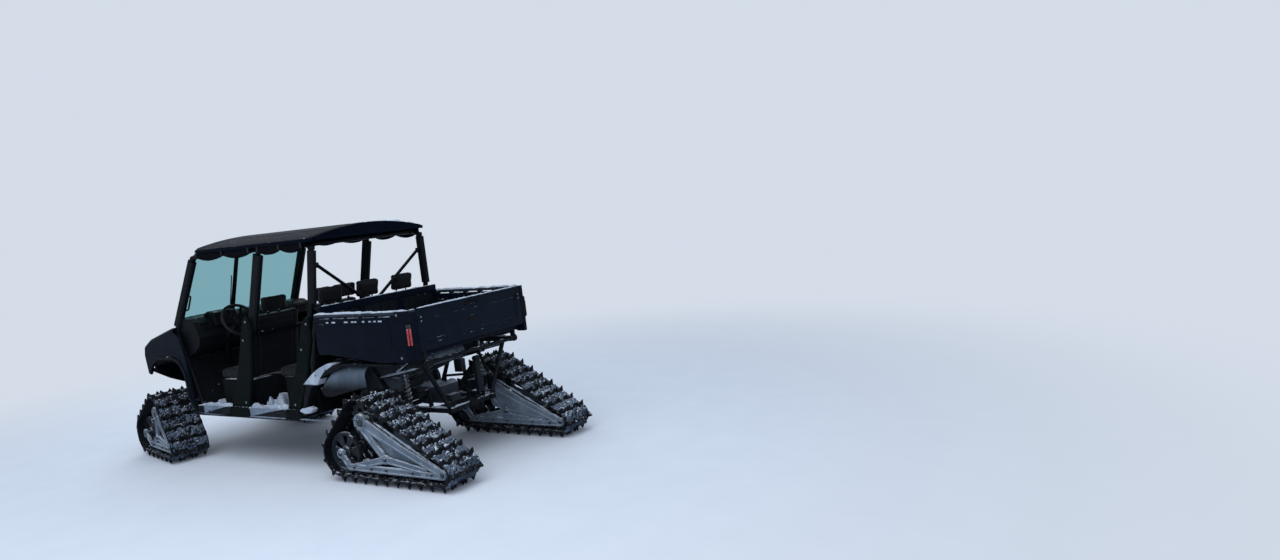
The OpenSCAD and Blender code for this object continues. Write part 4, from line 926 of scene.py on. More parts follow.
def line_object(points):
    """A closed line for a tree to run along."""
    curve = bpy.data.curves.new("line", "CURVE")
    curve.dimensions = "3D"
    spline = curve.splines.new("POLY")
    spline.points.add(len(points) - 1)
    for point, p in zip(spline.points, points):
        point.co = (p[0] / 1000, p[1] / 1000, p[2] / 1000, 1)
    spline.use_cyclic_u = True
    thing = bpy.data.objects.new("line", curve)
    bpy.context.scene.collection.objects.link(thing)
    return thing


def paddle_lug():
    """One lug: a tapered paddle with three points, a root rib and swept-back ends."""
    sections = []
    for u, rise, back in ((-59, 16, 10), (-52, 40, 8), (-42, LUG_H - 1.3, 6), (-31, 34, 4), (-18, 22, 1),
                          (0, 20, 0),
                          (18, 22, 1), (31, 34, 4), (42, LUG_H - 1.3, 6), (52, 40, 8), (59, 16, 10)):
        slim = 22 - 12 * rise / LUG_H
        sections.append([(-22 + back, u, -3), (-slim + back, u, rise * 0.6), (-4 + back, u, rise),
                         (4 + back, u, rise),
                         (slim + back, u, rise * 0.6), (22 + back, u, -3)])
    return loft(sections)


def guide_lug():
    return loft([[(x * k, y * k, z) for x, y in ((-16, -24), (16, -24), (16, 24), (-16, 24))] for z,
                 k in ((-2, 1), (-20, 0.8), (-26, 0.5))])


def lay_belt(name, sizes, place, body, lug_tree, lug, guide, seed):
    loop = BeltLoop(sizes)
    count = round(loop.total / LUG_PITCH)
    belt, rubber = Piece(name + "_rubber_belt", body, place), belt_rubber()
    half = BELT_W / 2
    section = [(-half + 4, 1), (half - 4, 1), (half, 5), (half, BELT_T - 4), (half - 5, BELT_T),
               (-half + 5, BELT_T),
               (-half, BELT_T - 4), (-half, 5)]
    line = [Vector((x, 0, z)) for x, z in loop.line(180, 0)]
    belt.add(tube(line, 1, closed=True, section=section, side=Vector((0, 1, 0))), rubber)
    # Three staggered rows of lugs outside and one row of guides inside
    rows = [(lug, count, shift, loop.line(count * 6, BELT_T, phase / count))
            for shift, phase in ((-120, 0.25), (0, 0.75), (120, 0.25))]
    for model, copies, shift, points in rows + [(guide, count * 2, 0, loop.line(count * 12, 1))]:
        source = line_object([(x, 0, z) for x, z in reversed(points)])
        values = {"Lug": model, "Count": copies, "Shift": shift / 1000, "Finish": rubber}
        belt.add(grow(source, lug_tree, values), rubber)
        bpy.data.objects.remove(source)
    bead = [(half - 1, 4), (half + 2.5, 5), (half + 2.5, 10), (half - 1, 11)]
    belt.pair(tube(line, 1, closed=True, section=bead, side=Vector((0, 1, 0))), rubber)
    belt.done("{}_belt_{}".format(*name.split("_")), slot="track_rubber")
    lay_packed_snow(name, loop, count, place, body, seed)


def lay_packed_snow(name, loop, count, place, body, seed):
    """Snow pressed between the lugs, thicker against their roots and broken into patches."""
    along, across, half = round(loop.total / 12), 34, 176
    tail_x = loop.runs[0][0][0]
    rows = []
    for i in range(along):
        s = loop.total * i / along
        row = []
        for j in range(across + 1):
            y = -half + 2 * half * j / across
            phase = 0.75 if abs(y) < 60 else 0.25
            root = 0.5 + 0.5 * cos(2 * pi * (s / loop.total * count - phase))
            spot = Vector((s * 0.056, y * 0.056, seed * 9.0))
            tailward = max(0.0, min(1.0, loop.at(s, 0)[0] / tail_x))
            level = noise.fractal(spot, 0.8, 2.1,
                                  4) + 0.30 * noise.noise(spot * 0.2) + 0.24 * root - 0.33 + 0.25 * tailward
            h = BELT_T - 2.5 + max(0.0, min(26.0, 60 * level)) * (0.5 + 0.5 * root)
            if j in (0, across):
                h = BELT_T - 3
            x, z = loop.at(s, h)
            row.append((x, y, z))
        for y in (half, -half):
            x, z = loop.at(s, BELT_T - 6)
            row.append((x, y * 0.98, z))
        rows.append(row)
    points, faces = loft(rows, caps=False)
    width, last = across + 3, (along - 1) * (across + 3)
    faces += [(last + k, last + (k + 1) % width, (k + 1) % width, k) for k in range(width)]
    snow = Piece(name + "_packed_snow", body, place)
    snow.add((points, faces), belt_snow())
    snow.done(sharp=60)


def snow_ridge(points, wide, high, seed=0.0, gap=0.22):
    """A lumpy bank of snow along a path, thin where the noise is low."""
    path = [Vector(p) for p in points]
    dense = []
    for a, b in zip(path, path[1:]):
        steps = max(1, int((b - a).length / 14))
        dense += [a.lerp(b, k / steps) for k in range(steps)]
    dense.append(path[-1])
    rows = []
    for i, here in enumerate(dense):
        along = (dense[min(i + 1, len(dense) - 1)] - dense[max(i - 1, 0)]).normalized()
        side = along.cross(Vector((0, 0, 1))).normalized()
        up = side.cross(along)
        lump = noise.fractal(Vector((here.x, here.y, here.z + seed * 700)) * 0.012, 0.9, 2.0, 4)
        ends = min(1, 0.15 + i / 3, 0.15 + (len(dense) - 1 - i) / 3)
        size = max(0.12, min(1.15, 0.75 + lump * 0.9 - gap)) * ends
        row = []
        for k in range(10):
            angle = 2 * pi * k / 10
            wobble = 1 + 0.25 * noise.noise(Vector((here.x * 0.03, here.y * 0.03 + k,
                                                    seed + here.z * 0.03)))
            height = max(sin(angle), -0.25) * high * size * wobble
            row.append(tuple(here + side * cos(angle) * wide * (0.55 + 0.45 * size) * wobble + up * height))
        rows.append(row)
    return loft(rows)


def lay_ridges(piece, *ridges):
    """Adds banks of snow to a piece, each given as path, width, height, seed and gap."""
    for ridge in ridges:
        piece.add(snow_ridge(*ridge), packed_snow())


def flanged_bar(p, rp, q, rq, mid, half, web):
    """A cast bar between two points of the side plate: a web with a raised flange along each edge."""
    (px, pz), (qx, qz) = p, q
    length = hypot(qx - px, qz - pz)
    nx, nz = -(qz - pz) / length, (qx - px) / length

    def strip(upper, lower, deep, edge):
        """The part of the bar between two shares of its half width."""
        corners = [(px, pz, rp * upper), (qx, qz, rq * upper), (qx, qz, rq * lower), (px, pz, rp * lower)]
        return plate([(x + nx * out, z + nz * out) for x, z, out in corners], mid - deep, mid + deep, edge)

    return [strip(1, -1, web, 2), strip(1, 0.5, half, 3), strip(-1, -0.5, half, 3)]


def build_track_frame(name, sizes, place, body, stands_for):
    tail, nose, hub = (circle[:2] for circle in track_circles(sizes))
    low = SHOE + ROLLER_R * 1.05
    knee = ((sizes[2] + sizes[4]) * 0.42, low + 95)
    piece = Piece(name + "_track_frame", body, place)
    grey = cast_grey()
    for out in (-1, 1):
        mid = SIDE_PLATE_Y * out
        arm = (tail[0] * 0.5, (hub[1] + tail[1]) / 2 - 12)
        bars = [(hub, 52, arm, 32), (arm, 32, tail, 31), ((10, sizes[0] - 30), 33, knee, 29),
                (knee, 30, (nose[0] * 0.6, low + 4), 21),
                (knee, 29, (tail[0] * 0.8, low + 24), 25),
                ((nose[0] * 0.75, low + 3), 27, (tail[0], low - 4), 25),
                ((nose[0] * 0.7, low), 27, nose, 28)]
        for k, bar in enumerate(bars):
            for shape in flanged_bar(*bar, mid, half=12.6 - 0.3 * k, web=(9.6 if k < 2 else 6) - 0.2 * k):
                piece.add(shape, grey)
        for (x, z), r, proud in ((hub, 72, 5), (tail, 41, 4), (nose, 42, 4), (knee, 38, 2)):
            boss = [(0, -13), (r - 3, -13), (r, -10), (r, 10), (r - 4, 13 + proud), (r * 0.62, 13 + proud),
                    (r * 0.55, 8), (0, 8)]
            piece.add(lathe([(a, b * out) for a, b in boss], (x, mid, z), "y", 36), grey)
            cap = [(0, 6), (r * 0.46, 6), (r * 0.46, 17), (r * 0.38, 22), (0, 23)]
            piece.add(lathe([(a, b * out) for a, b in cap], (x, mid, z), "y", 24), drive_steel())
        for k in range(6):
            angle = radians(60 * k + 20)
            spot = (hub[0] + 56 * cos(angle), mid + 17 * out, hub[1] + 56 * sin(angle))
            piece.add(hex_bolt(spot, (0, out, 0), 12, 7), drive_steel())
        for x in (nose[0] * 0.5, -60, -240, tail[0] * 0.62, tail[0] * 0.86):
            piece.add(hex_bolt((x, mid + 11 * out, low + 6), (0, out, 0), 17, 9), drive_steel())
    for x, z, r in ((knee[0], knee[1], 20), (tail[0] * 0.72, tail[1] + (hub[1] - tail[1]) * 0.28, 18),
                    (-60, low + 12, 14), (tail[0] * 0.5, low + 12, 14)):
        piece.add(rod(r, 134, (x, 0, z), "y", 20), grey)
    # Snow packed inside the frame, seen between its bars
    fill = [(tail[0] * 0.84, low + 34), (knee[0] * 1.1, knee[1] + 6), (knee[0] * 0.5, knee[1] + 120),
            (hub[0] - 66, hub[1] - 92), (tail[0] * 0.5, hub[1] - 214 * sizes[0] / 530)]
    piece.add(plate(rounded_path(fill, 26), 96, 118, 9, 3), packed_grey())
    # The inner side is caked flush with its bars: an upper wedge, a lower crescent and a dark seam between
    wedge = [(tail[0] * 0.86, tail[1] + 18), (knee[0] * 1.15, knee[1] + 16), (knee[0] * 0.3, knee[1] + 40),
             (hub[0] - 34, hub[1] - 120), (hub[0] - 96, hub[1] - 58)]
    crescent = [(tail[0] * 0.88, low - 20), (nose[0] * 0.4, low - 20), (nose[0] * 0.72, low + 34),
                (knee[0] * 0.4, knee[1] - 6), (knee[0] * 1.3, knee[1] - 22), (tail[0] * 0.84, low + 24)]
    for shape in (wedge, crescent):
        piece.add(plate(rounded_path(shape, 30, 5), -154, -112, 8, 3), packed_grey())
    # Snow lying on the upper edges
    slope = Vector((tail[0] - hub[0], 0, tail[1] - hub[1])).normalized()
    over = Vector((slope.z, 0, -slope.x))
    start, end = Vector((hub[0] - 60, 0, hub[1])), Vector((tail[0], 0, tail[1]))
    for mid, seed in ((-SIDE_PLATE_Y, 1.3), (SIDE_PLATE_Y, 4.1)):
        path = [start.lerp(end, k / 10) + over * (50 - 20 * k / 10) + Vector((0, mid, 0))
                for k in range(1, 11)]
        fore, aft = nose[0] * 0.5, tail[0] * 0.8
        foot = [(fore - k * (fore - aft) / 8, mid, low + 29 - k * 0.3) for k in range(9)]
        lay_ridges(piece, (path, 13, 13, seed + sizes[0]), (foot, 12, 12, seed + 2, 0.3))
    piece.done(*stands_for)


def packed_grey():
    return finish("packed grey snow", "56616f", "75818f", 0.8, film=(0.35, 0.9, "323c46"),
                  snow=(0.45, 0.0, 16.0), specular=0.2)


def build_wheels(name, sizes, rollers, place, body, stands_for):
    tail, nose, _ = track_circles(sizes)
    piece = Piece(name + "_track_wheels", body, place)
    rubber, plastic, steel = tyre_rubber(), wheel_plastic(), drive_steel()
    for x, z, r, spokes in ((*tail, 5), (*nose, 6)):
        for y in (-WHEEL_Y, WHEEL_Y):
            tyre = [(r - 16, -20), (r - 3, -22), (r, -17), (r, 17), (r - 3, 22), (r - 16, 20)]
            piece.add(lathe(tyre, (x, y, z), "y", 44, closed=True), rubber)
            rim = [(r - 26, -17), (r - 14, -19), (r - 14, 19), (r - 26, 17), (r - 22, 0)]
            piece.add(lathe(rim, (x, y, z), "y", 44, closed=True), plastic)
            holes = []
            for k in range(spokes):
                a0 = radians(360 * k / spokes + 100 / spokes)
                a1 = radians(360 * (k + 1) / spokes - 100 / spokes)
                wide = [(x + (r - 30) * cos(a0 + (a1 - a0) * t / 4),
                         z + (r - 30) * sin(a0 + (a1 - a0) * t / 4)) for t in range(5)]
                thin = [(x + r * 0.36 * cos(a1 + (a0 - a1) * t / 3),
                         z + r * 0.36 * sin(a1 + (a0 - a1) * t / 3)) for t in range(4)]
                holes.append(rounded_path(wide + thin, r * 0.06, 2))
            piece.add(plate([ring_outline(r - 20, 44, x, z)] + holes, y - 8, y + 8, 2), plastic)
            piece.add(lathe([(0, -24), (r * 0.26, -24), (r * 0.3, -18), (r * 0.3, 18), (r * 0.26, 24),
                             (0, 24)], (x, y, z), "y", 24), steel)
        piece.add(rod(20, 132, (x, 0, z), "y", 20), steel)
    for x in rollers:
        z = SHOE + ROLLER_R + 0.5
        for y in (-WHEEL_Y, WHEEL_Y):
            rim = [(0, -14), (20, -16), (24, -8), (42, -8), (46, -20), (58, -22), (62, -18), (62, 18),
                   (58, 22), (46, 20), (42, 8), (24, 8), (20, 16), (0, 14)]
            piece.add(lathe(rim, (x, y, z), "y", 36), rubber)
            piece.add(hex_bolt((x, y + 14, z), (0, 1, 0), 22, 10), steel)
        piece.add(rod(12, 134, (x, 0, z), "y", 16), steel)
    teeth, radius = 20, sizes[1]
    gear = []
    for k in range(teeth):
        for share, r in ((-0.34, radius - 20), (-0.2, radius - 3), (-0.1, radius), (0.1, radius),
                         (0.2, radius - 3), (0.34, radius - 20)):
            angle = 2 * pi * (k + share) / teeth
            gear.append((r * cos(angle), sizes[0] + r * sin(angle)))
    holes = [ring_outline(26, 18, 108 * cos(2 * pi * k / 8), sizes[0] + 108 * sin(2 * pi * k / 8))
             for k in range(8)]
    for y in (-62, 62):
        piece.add(plate([gear] + holes, y - 15, y + 15, 3), plastic)
        piece.add(lathe([(52, -22), (72, -22), (76, -17), (76, 17), (72, 22), (52, 22)], (0, y, sizes[0]),
                        "y", 32, closed=True), steel)
    piece.add(rod(44, 156, (0, 0, sizes[0]), "y", 28), steel)
    # Dished shield over the inner end of the hub
    cup = [(56, -150), (104, -158), (118, -152), (118, -128), (108, -126), (104, -146), (58, -140)]
    piece.add(lathe(cup, (0, 0, sizes[0]), "y", 36, closed=True), packed_snow())
    piece.done(*stands_for)


def wheel_plastic():
    return finish("wheel plastic", "0b0e12", "171b21", 0.55, film=(0.5, 1.0, "39434e"),
                  snow=(0.45, 0.06, 20.0), grain=(500, 0.0005), specular=0.3)


def build_tracks():
    lug_tree = lug_row_tree()
    lug, guide = holder_of("lug", paddle_lug()), holder_of("guide", guide_lug())
    for seed, (name, sizes, rollers, place, body) in enumerate(TRACKS, 1):
        lay_belt(name, sizes, place, body, lug_tree, lug, guide, seed)
        end, side = name.split("_")
        # The CAD has one node for both rear frames and one for both rear sets of wheels
        nodes = {"rear_left": ("rear_track_frames", "rear_track_wheels"), "rear_right": ()}.get(
            name, (f"{end}_track_frame_{side}", f"{end}_track_wheels_{side}"))
        build_track_frame(name, sizes, place, body, nodes[:1])
        build_wheels(name, sizes, rollers, place, body, nodes[1:])
    for thing in (lug, guide):
        bpy.data.objects.remove(thing)


# Cargo bed, tailgate, tail lamps

def column(outlines, z0, z1, edge=3.0, steps=1):
    """Outlines in the X-Y plane, the first outside and the rest holes, from z0 to z1."""
    points, faces = plate(outlines, z0, z1, edge, steps)
    return [(x, v, u) for x, u, v in points], faces


def upright(outlines, x0, x1, edge=3.0, steps=1):
    """Outlines in the Y-Z plane, the first outside and the rest holes, from x0 to x1."""
    points, faces = plate(outlines, x0, x1, edge, steps)
    return [(u, x, z) for x, u, z in points], faces


def snow_blanket(surface, across, along, high, cover, seed, scale=0.012, sink=2.0):
    """Patchy snow on surface(u, v): a closed skin that rises out of the surface where the noise is high."""
    drop, rise = Vector((0, 0, -sink)), Vector((0, 0, 1))
    rows = []
    for i in range(across + 1):
        row = []
        for j in range(along + 1):
            u, v = i / across, j / along
            here = Vector(surface(u, v))
            rim = min(u, 1 - u, v, 1 - v) * 7
            level = noise.fractal(Vector((here.x, here.y, here.z + 900 * seed)) * scale, 0.9, 2.1, 5) * 0.9
            level = min(1.0, max(0.0, (level + cover) * 1.6)) * min(1.0, rim)
            row.append(here + drop + rise * (high + sink) * level)
        rows.append(row)
    return shell(lambda u, v: rows[round(u * across)][round(v * along)], across, along, (0, 0, -2.5))


def flat_patch(x0, x1, y0, y1, z):
    return lambda u, v: (x0 + (x1 - x0) * v, y0 + (y1 - y0) * u, z)


def build_bed():
    bed = Piece("cargo_bed_body", "bed")
    paint, liner, rail, snow = panel_paint(), bed_liner(), snow_lined(), packed_snow()
    bed.add(block(-500, 615, -745, 745, 1065, 1100, 4), liner)
    for y in range(-560, 561, 140):
        bed.add(block(-462, 556, y - 22, y + 22, 1095, 1108, 6, 3), liner)
    skirt = [(-402, 1001), (-180, 996), (560, 1077), (615, 1096), (615, 1366), (-402, 1366)]
    bed.pair(plate(rounded_path(skirt, 12), 707, 755, 5, 3), paint)
    field = [(-330, 1120), (-60, 1112), (560, 1130), (560, 1326), (-330, 1326)]
    bed.pair(plate(rounded_path(field, 16), 752, 759, 4, 3), paint)
    # Inner skin with its own pressed ribs
    for x in range(-360, 561, 115):
        bed.pair(block(x - 16, x + 16, 699, 709, 1112, 1350, 5, 2), liner)
    bed.pair(block(-400, 615, 706, 761, 1360, 1381, 7, 3), paint)
    bed.pair(plate([(-396, 1330), (612, 1330), (612, 1338), (-396, 1338)], 753, 759, 2), paint)
    # Slots along the upper edge, filled with snow
    for x in (-250, -180, -120, -40, 60, 96, 170, 330, 420):
        bed.pair(block(x, x + (46 if x % 4 else 30), 753, 757.5, 1343, 1356, 1.5, 1), snow)
    bed.pair(block(-402, 615, 713, 751, 1392, 1422, 9, 4), rail)
    for x in range(-390, 561, 190):
        bed.pair(block(x, x + 44, 714, 750, 1378, 1395, 4), paint)
    post = [(-550, 660), (-550, 697), (-486, 755), (-400, 755), (-400, 707), (-460, 707), (-460, 660)]
    bed.pair(column(post, 1000, 1422, 5, 3), paint)
    bed.pair(column([(-552, 664), (-552, 696), (-530, 716), (-516, 664)], 1408, 1430, 5, 2), rail)
    for z in (1040, 1395):
        bed.pair(hex_bolt((-430, 755, z), (0, 1, 0), 16, 6), bare_steel())
    # Headboard with three pressed fields, and its top rail
    fields = [[(y - 200, 1140), (y + 200, 1140), (y + 200, 1420), (y - 200, 1420)] for y in (-460, 0, 460)]
    board = [(-708, 1099), (708, 1099), (708, 1482), (-708, 1482)]
    bed.add(upright([board] + [rounded_path(f, 26) for f in fields], 576, 614, 5, 2), paint)
    bed.add(block(588, 602, -700, 700, 1110, 1470, 2), liner)
    for f in fields:
        for y in (f[0][0] + 100, f[0][0] + 200, f[0][0] + 300):
            bed.add(block(580, 610, y - 8, y + 8, 1150, 1410, 4), liner)
    bed.add(tube([(595, -690, 1470), (595, 690, 1470)], 11.5, 14), rail)
    # Under-frame, hinges and the bracket of the gas spring
    steel = chassis_paint()
    for x in (-260, 180, 500):
        bed.add(block(x - 25, x + 25, -460, 460, 1025, 1066, 3), steel)
    bed.pair(block(-380, 560, 440, 480, 1037, 1066, 3), steel)
    bed.add(block(-500, -470, -660, 660, 1028, 1067, 4), paint)
    for y in (-565, 565):
        bed.add(plate([(-500, 962), (-458, 950), (-458, 1067), (-502, 1067)], y - 13, y + 13, 3), steel)
        ring = [(18.6, -13), (30, -13), (32, -11), (32, 11), (30, 13), (18.6, 13)]
        bed.add(lathe(ring, (-490, y, 954), "y", 32, closed=True), steel)
    for y in (-440, -410):
        bed.add(plate(rounded_path([(-112, 1067), (-112, 1004), (-102, 986), (-82, 986), (-72, 1004),
                                    (-72, 1067)], 8), y, y + 10, 1.5), steel)
    bed.add(rod(6, 22, (-92, -420, 1004), "y", 16), bare_steel())
    bed.add(block(-116, -68, -462, -396, 1046, 1067, 3), steel)
    # Tie-down hooks inside the bed
    for x in (-300, 120, 500):
        hook = bent([(x - 30, 700, 1330), (x - 30, 676, 1330), (x + 30, 676, 1330), (x + 30, 700, 1330)],
                    12)
        bed.pair(tube(hook, 5, 10), bare_steel())
    bed.done("cargo_bed", slot="body_plastic")
    lay_bed_snow()


def lay_bed_snow():
    """Snow along the rails, on the headboard and over the floor."""
    piece = Piece("bed_snow", "bed")
    for y, seed in ((732, 1.0), (-732, 5.5)):
        rail = [(x, y, 1421) for x in (605, 300, 0, -250, -470)]
        ledge = [(x, y, 1381) for x in (560, 200, -120, -380)]
        lay_ridges(piece, (rail, 20, 13, seed, -0.15), (ledge, 17, 9, seed + 2, 0.35))
    corner = [(-500, 700, 1424), (-470, 728, 1424), (-400, 732, 1424), (-350, 732, 1423)]
    headboard = [(595, y, 1481) for y in (-660, -200, 300, 680)]
    lay_ridges(piece, (corner, 24, 15, 2.2, 0.0), (headboard, 12, 10, 3.1, 0.3))
    floor = flat_patch(-470, 560, -690, 690, 1108)
    piece.add(snow_blanket(floor, 54, 44, 30, -0.02, 2.0, 0.008, 9), packed_snow())
    left = [(-430, 690, 1112), (-100, 690, 1110), (200, 692, 1110), (540, 690, 1110)]
    right = [(-430, -690, 1112), (0, -690, 1110), (540, -690, 1110)]
    lay_ridges(piece, (left, 20, 26, 6.3, 0.2), (right, 20, 24, 8.3, 0.2))
    piece.done(sharp=60)


def build_tailgate():
    gate = Piece("tailgate_panel_body", "tailgate_panel")
    paint, steel = lit_tailgate_paint(), chassis_paint()
    frame_outline = rounded_path([(-654, 1070), (654, 1070), (654, 1416), (-654, 1416)], 24, 5)
    field = rounded_path([(-584, 1125), (584, 1125), (584, 1352), (-584, 1352)], 18)
    grip = rounded_path([(-85, 1366), (85, 1366), (85, 1392), (-85, 1392)], 9)
    gate.add(upright([frame_outline, field, grip], -550, -528, 4, 3), paint)
    gate.add(upright([frame_outline, grip], -543, -506, 4, 2), paint)
    gate.add(block(-524, -512, -84, 84, 1362, 1396, 1), bed_liner())
    gate.add(tube([(-542, -80, 1379), (-542, 80, 1379)], 6, 12), grip_rubber())
    # Shallow swages across the field, and a blank oval boss on the middle
    for z in (1150, 1326):
        gate.add(block(-546, -540, -560, 560, z - 7, z + 7, 2.6, 2), paint)
    oval = [(62 * cos(2 * pi * k / 36), 1238 + 30 * sin(2 * pi * k / 36)) for k in range(36)]
    gate.add(upright(oval, -548, -540, 3, 2), moulded_black())
    gate.add(block(-560, -530, -644, 644, 1415, 1429.5, 5, 3), paint)
    gate.pair(block(-556, -540, 595, 633, 1303, 1371, 4, 2), moulded_black())
    for z in (1320, 1354):
        gate.pair(hex_bolt((-556, 614, z), (-1, 0, 0), 10, 4), bare_steel())
    gate.pair(rod(8, 14, (-528, 667, 1090), "y", 18), steel)
    for y in (-450, -150, 150, 450):
        gate.add(block(-509, -503, y - 24, y + 24, 1090, 1390, 2.5), bed_liner())
    gate.done("tailgate", slot="body_plastic")
    snow = Piece("tailgate_snow", "tailgate_panel")
    lay_ridges(snow, ([(-545, y, 1429) for y in (-620, -200, 250, 630)], 15, 8, 4.4, -0.35))
    snow.done(sharp=60)


def build_tail_lamps():
    lamps = Piece("tail_lamp_units", "bed")
    turn = Matrix.Translation((-519, 725, 1128)) @ Matrix.Rotation(radians(44), 4, "Z")
    lamps.pair(moved(block(-25, 25, 0.5, 15, 0, 190, 4, 2), turn), moulded_black())
    for x0, x1 in ((-19, -3), (3, 19)):
        lamps.pair(moved(block(x0, x1, 10, 20, 12, 150, 3.5, 3), turn), red_lens())
        for z in range(20, 146, 9):
            lamps.pair(moved(block(x0 + 2, x1 - 2, 18, 20.6, z, z + 4, 1, 1), turn), red_lens())
    lamps.pair(moved(block(-19, 19, 10, 19, 154, 180, 3, 2), turn), clear_lens())
    lamps.done("tail_lamps", slot="red_lens")


# Cab: cage, roof, glass, controls, seats

def build_cage():
    paint = cage_paint()
    for side, name in ((1, "left"), (-1, "right")):
        cage = Piece("cage_tubes_" + name)
        run = [A_FOOT, A_BASE, A_TOP, C_TOP, C_KNEE, C_FOOT]
        path = [(x, y * side, z) for x, y, z in bent(run, 95, 8)]
        cage.add(tube(path, 24.6, 20), paint)
        cage.add(tube([(x, y * side, z) for x, y, z in (B_FOOT, B_TOP)], 22.4, 20), paint)
        for x, y, z in (A_FOOT, B_FOOT, C_FOOT):
            collar = [(0, 492), (38, 492), (38, 502), (30, 508), (28.5, 528), (25, 532), (0, 532)]
            cage.add(lathe(collar, (x, y * side, 0), "z", 24), chassis_paint())
            for k in range(3):
                angle = 2.1 * k + 0.6
                cage.add(hex_bolt((x + 33 * cos(angle), y * side + 33 * sin(angle), 501), (0, 0, 1), 9, 6),
                         bare_steel())
        for low, high, spot in ((A_BASE, A_TOP, 0.96), (C_KNEE, C_TOP, 0.94)):
            p = Vector(low).lerp(Vector(high), spot)
            along = (Vector(high) - Vector(low)).normalized()
            ring = [(24, -16), (27.6, -16), (28.4, -12), (28.4, 12), (27.6, 16), (24, 16)]
            cage.add(lathe(ring, (p.x, p.y * side, p.z), (along.x, along.y * side, along.z), 22,
                           closed=True), paint)
        # Grab handle on the front post
        grip = bent([(2668, 668 * side, 1640), (2590, 650 * side, 1640), (2668, 652 * side, 1500),
                     (2748, 676 * side, 1500)], 22)
        cage.add(tube(grip, 9, 12), grip_rubber())
        cage.done("cage_" + name, slot="black_steel")
        # Moulded sleeves widen the posts above the belt line
        sleeves = Piece("post_sleeves_" + name)
        b_low = Vector(B_FOOT).lerp(Vector(B_TOP), 0.515)
        for low, high, start, stop, half in ((Vector(A_BASE), Vector(A_TOP), 0.06, 0.93, 47),
                                             (b_low, Vector(B_TOP), 0.0, 0.93, 55),
                                             (Vector(C_KNEE), Vector(C_TOP), 0.06, 0.9, 42)):
            path = [low.lerp(high, start + (stop - start) * k / 4) for k in range(5)]
            outline = [(-half, -12), (-half + 14, -27), (half - 14, -27), (half, -12), (half, 12),
                       (half - 14, 27), (-half + 14, 27), (-half, 12)]
            sleeves.add(tube([(p.x, p.y * side, p.z) for p in path], 1, section=outline,
                             side=Vector((1, 0, 0))), moulded_black())
        sleeves.done()
    bars = Piece("cage_cross_tubes")
    for x, z, half, r in ((2380, 2035, 614, 21), (1340, 2035, 614, 21), (700, 2035, 614, 21),
                          (707, 1440, 665, 20), (1654, 1240, 653, 18), (2833, 1260, 661, 20)):
        bars.add(tube([(x, -half, z), (x, half, z)], r, 18), paint)
        for s in (-1, 1):
            joint = [(r, -9), (r + 5, -9), (r + 7, -6), (r + 7, 6), (r + 5, 9), (r, 9)]
            bars.add(lathe(joint, (x, s * (half - 40), z), "y", 22, closed=True), paint)
    for s in (-1, 1):
        bars.add(tube([(658, s * 622, 1860), (707, s * 60, 1444)], 15, 16), paint)
        bars.add(block(648, 668, s * 600 - 14, s * 600 + 14, 1820, 1868, 4), paint)
    bars.done("cage_crossbars", slot="black_steel")


ROOF_HALF, ROOF_RISE, ROOF_EDGE = 702, 96, 2084.3
ROOF_TOP = ROOF_EDGE + ROOF_RISE - 0.1
ROOF_PLAN = ((600, 662), (640, ROOF_HALF), (2280, ROOF_HALF), (2400, 652), (2470, 492))


def roof_half(x):
    for (x0, w0), (x1, w1) in zip(ROOF_PLAN, ROOF_PLAN[1:]):
        if x <= x1:
            return w0 + (w1 - w0) * (x - x0) / (x1 - x0)
    return ROOF_PLAN[-1][1]


def roof_height(x, y):
    """The crown: an arc across, three broad ribs, and a fall towards the front and the rear."""
    bow = (ROOF_HALF ** 2 + ROOF_RISE ** 2) / (2 * ROOF_RISE)
    z = ROOF_EDGE + ROOF_RISE - bow + sqrt(bow * bow - y * y)
    if 700 < x < 2330:
        fade = min(1, (x - 700) / 60, (2330 - x) / 60)
        rib = sum(max(0.0, min(1.0, (46 - abs(y - c)) / 14)) for c in (-330, 0, 330))
        z += 5 * fade * rib - 5 * fade
    return z - max(0, (x - 2390) / 80) ** 2 * 14 - max(0, (660 - x) / 60) ** 2 * 6


def on_roof(u, v):
    x = 600 + 1870 * v
    half = roof_half(x)
    y = (2 * u - 1) * half
    return x, y, roof_height(x, y) - 14 * max(0, abs(2 * u - 1) - 0.965) / 0.035


def build_roof():
    roof = Piece("roof_panel")
    plastic = roof_plastic()
    roof.add(shell(on_roof, 84, 90, (0, 0, -12)), plastic)
    rim = [(x, w) for x, w in ROOF_PLAN] + [(x, -w) for x, w in reversed(ROOF_PLAN)]
    inner = [(max(626, min(2444, x)), y - 26 * (1 if y > 0 else -1)) for x, y in rim]
    roof.add(column([rim, inner], 2062.4, 2088, 5, 2), plastic)
    # Front skirt closes the gap under the crown, and a rear lip does the same
    for x, half in ((2452, 500), (612, 668)):
        count = 24
        top = [(-half + 2 * half * k / count, roof_height(x, -half + 2 * half * k / count) - 6)
               for k in range(count + 1)]
        roof.add(upright([(-half, 2066)] + top + [(half, 2066)], x - 9, x + 9, 2), plastic)
    for s in (-1, 1):
        for x in (680, 1180, 1700, 2240):
            roof.add(hex_bolt((x, s * 676, roof_height(x, 676) - 4), (0, 0.1 * s, 1), 16, 6), bare_steel())
        roof.add(block(640, 2280, s * 650 - 30, s * 650 + 30, 2063, 2078, 4), plastic)
    roof.done("roof", slot="body_plastic")
    snow = Piece("roof_snow")
    # The dense patch along the rear edge is snow that also serves as a painted highlight where light catches
    # the roof's rear top edge; the sparse patch further forward is snow alone. The snow is cut off at the
    # roof's highest point
    patches = ((0.02, 0.56, 0.002, 0.13, (70, 30, 16, 0.2, 3.3, 0.007)),
               (0.04, 0.5, 0.2, 0.7, (60, 70, 6, -0.42, 7.7, 0.009)))
    for u0, du, v0, dv, lie in patches:
        verts, faces = snow_blanket(lambda u, v: on_roof(u0 + du * u, v0 + dv * v), *lie, 3)
        snow.add(([(x, y, min(z, ROOF_TOP)) for x, y, z in verts], faces), packed_snow())
    snow.done(sharp=60)


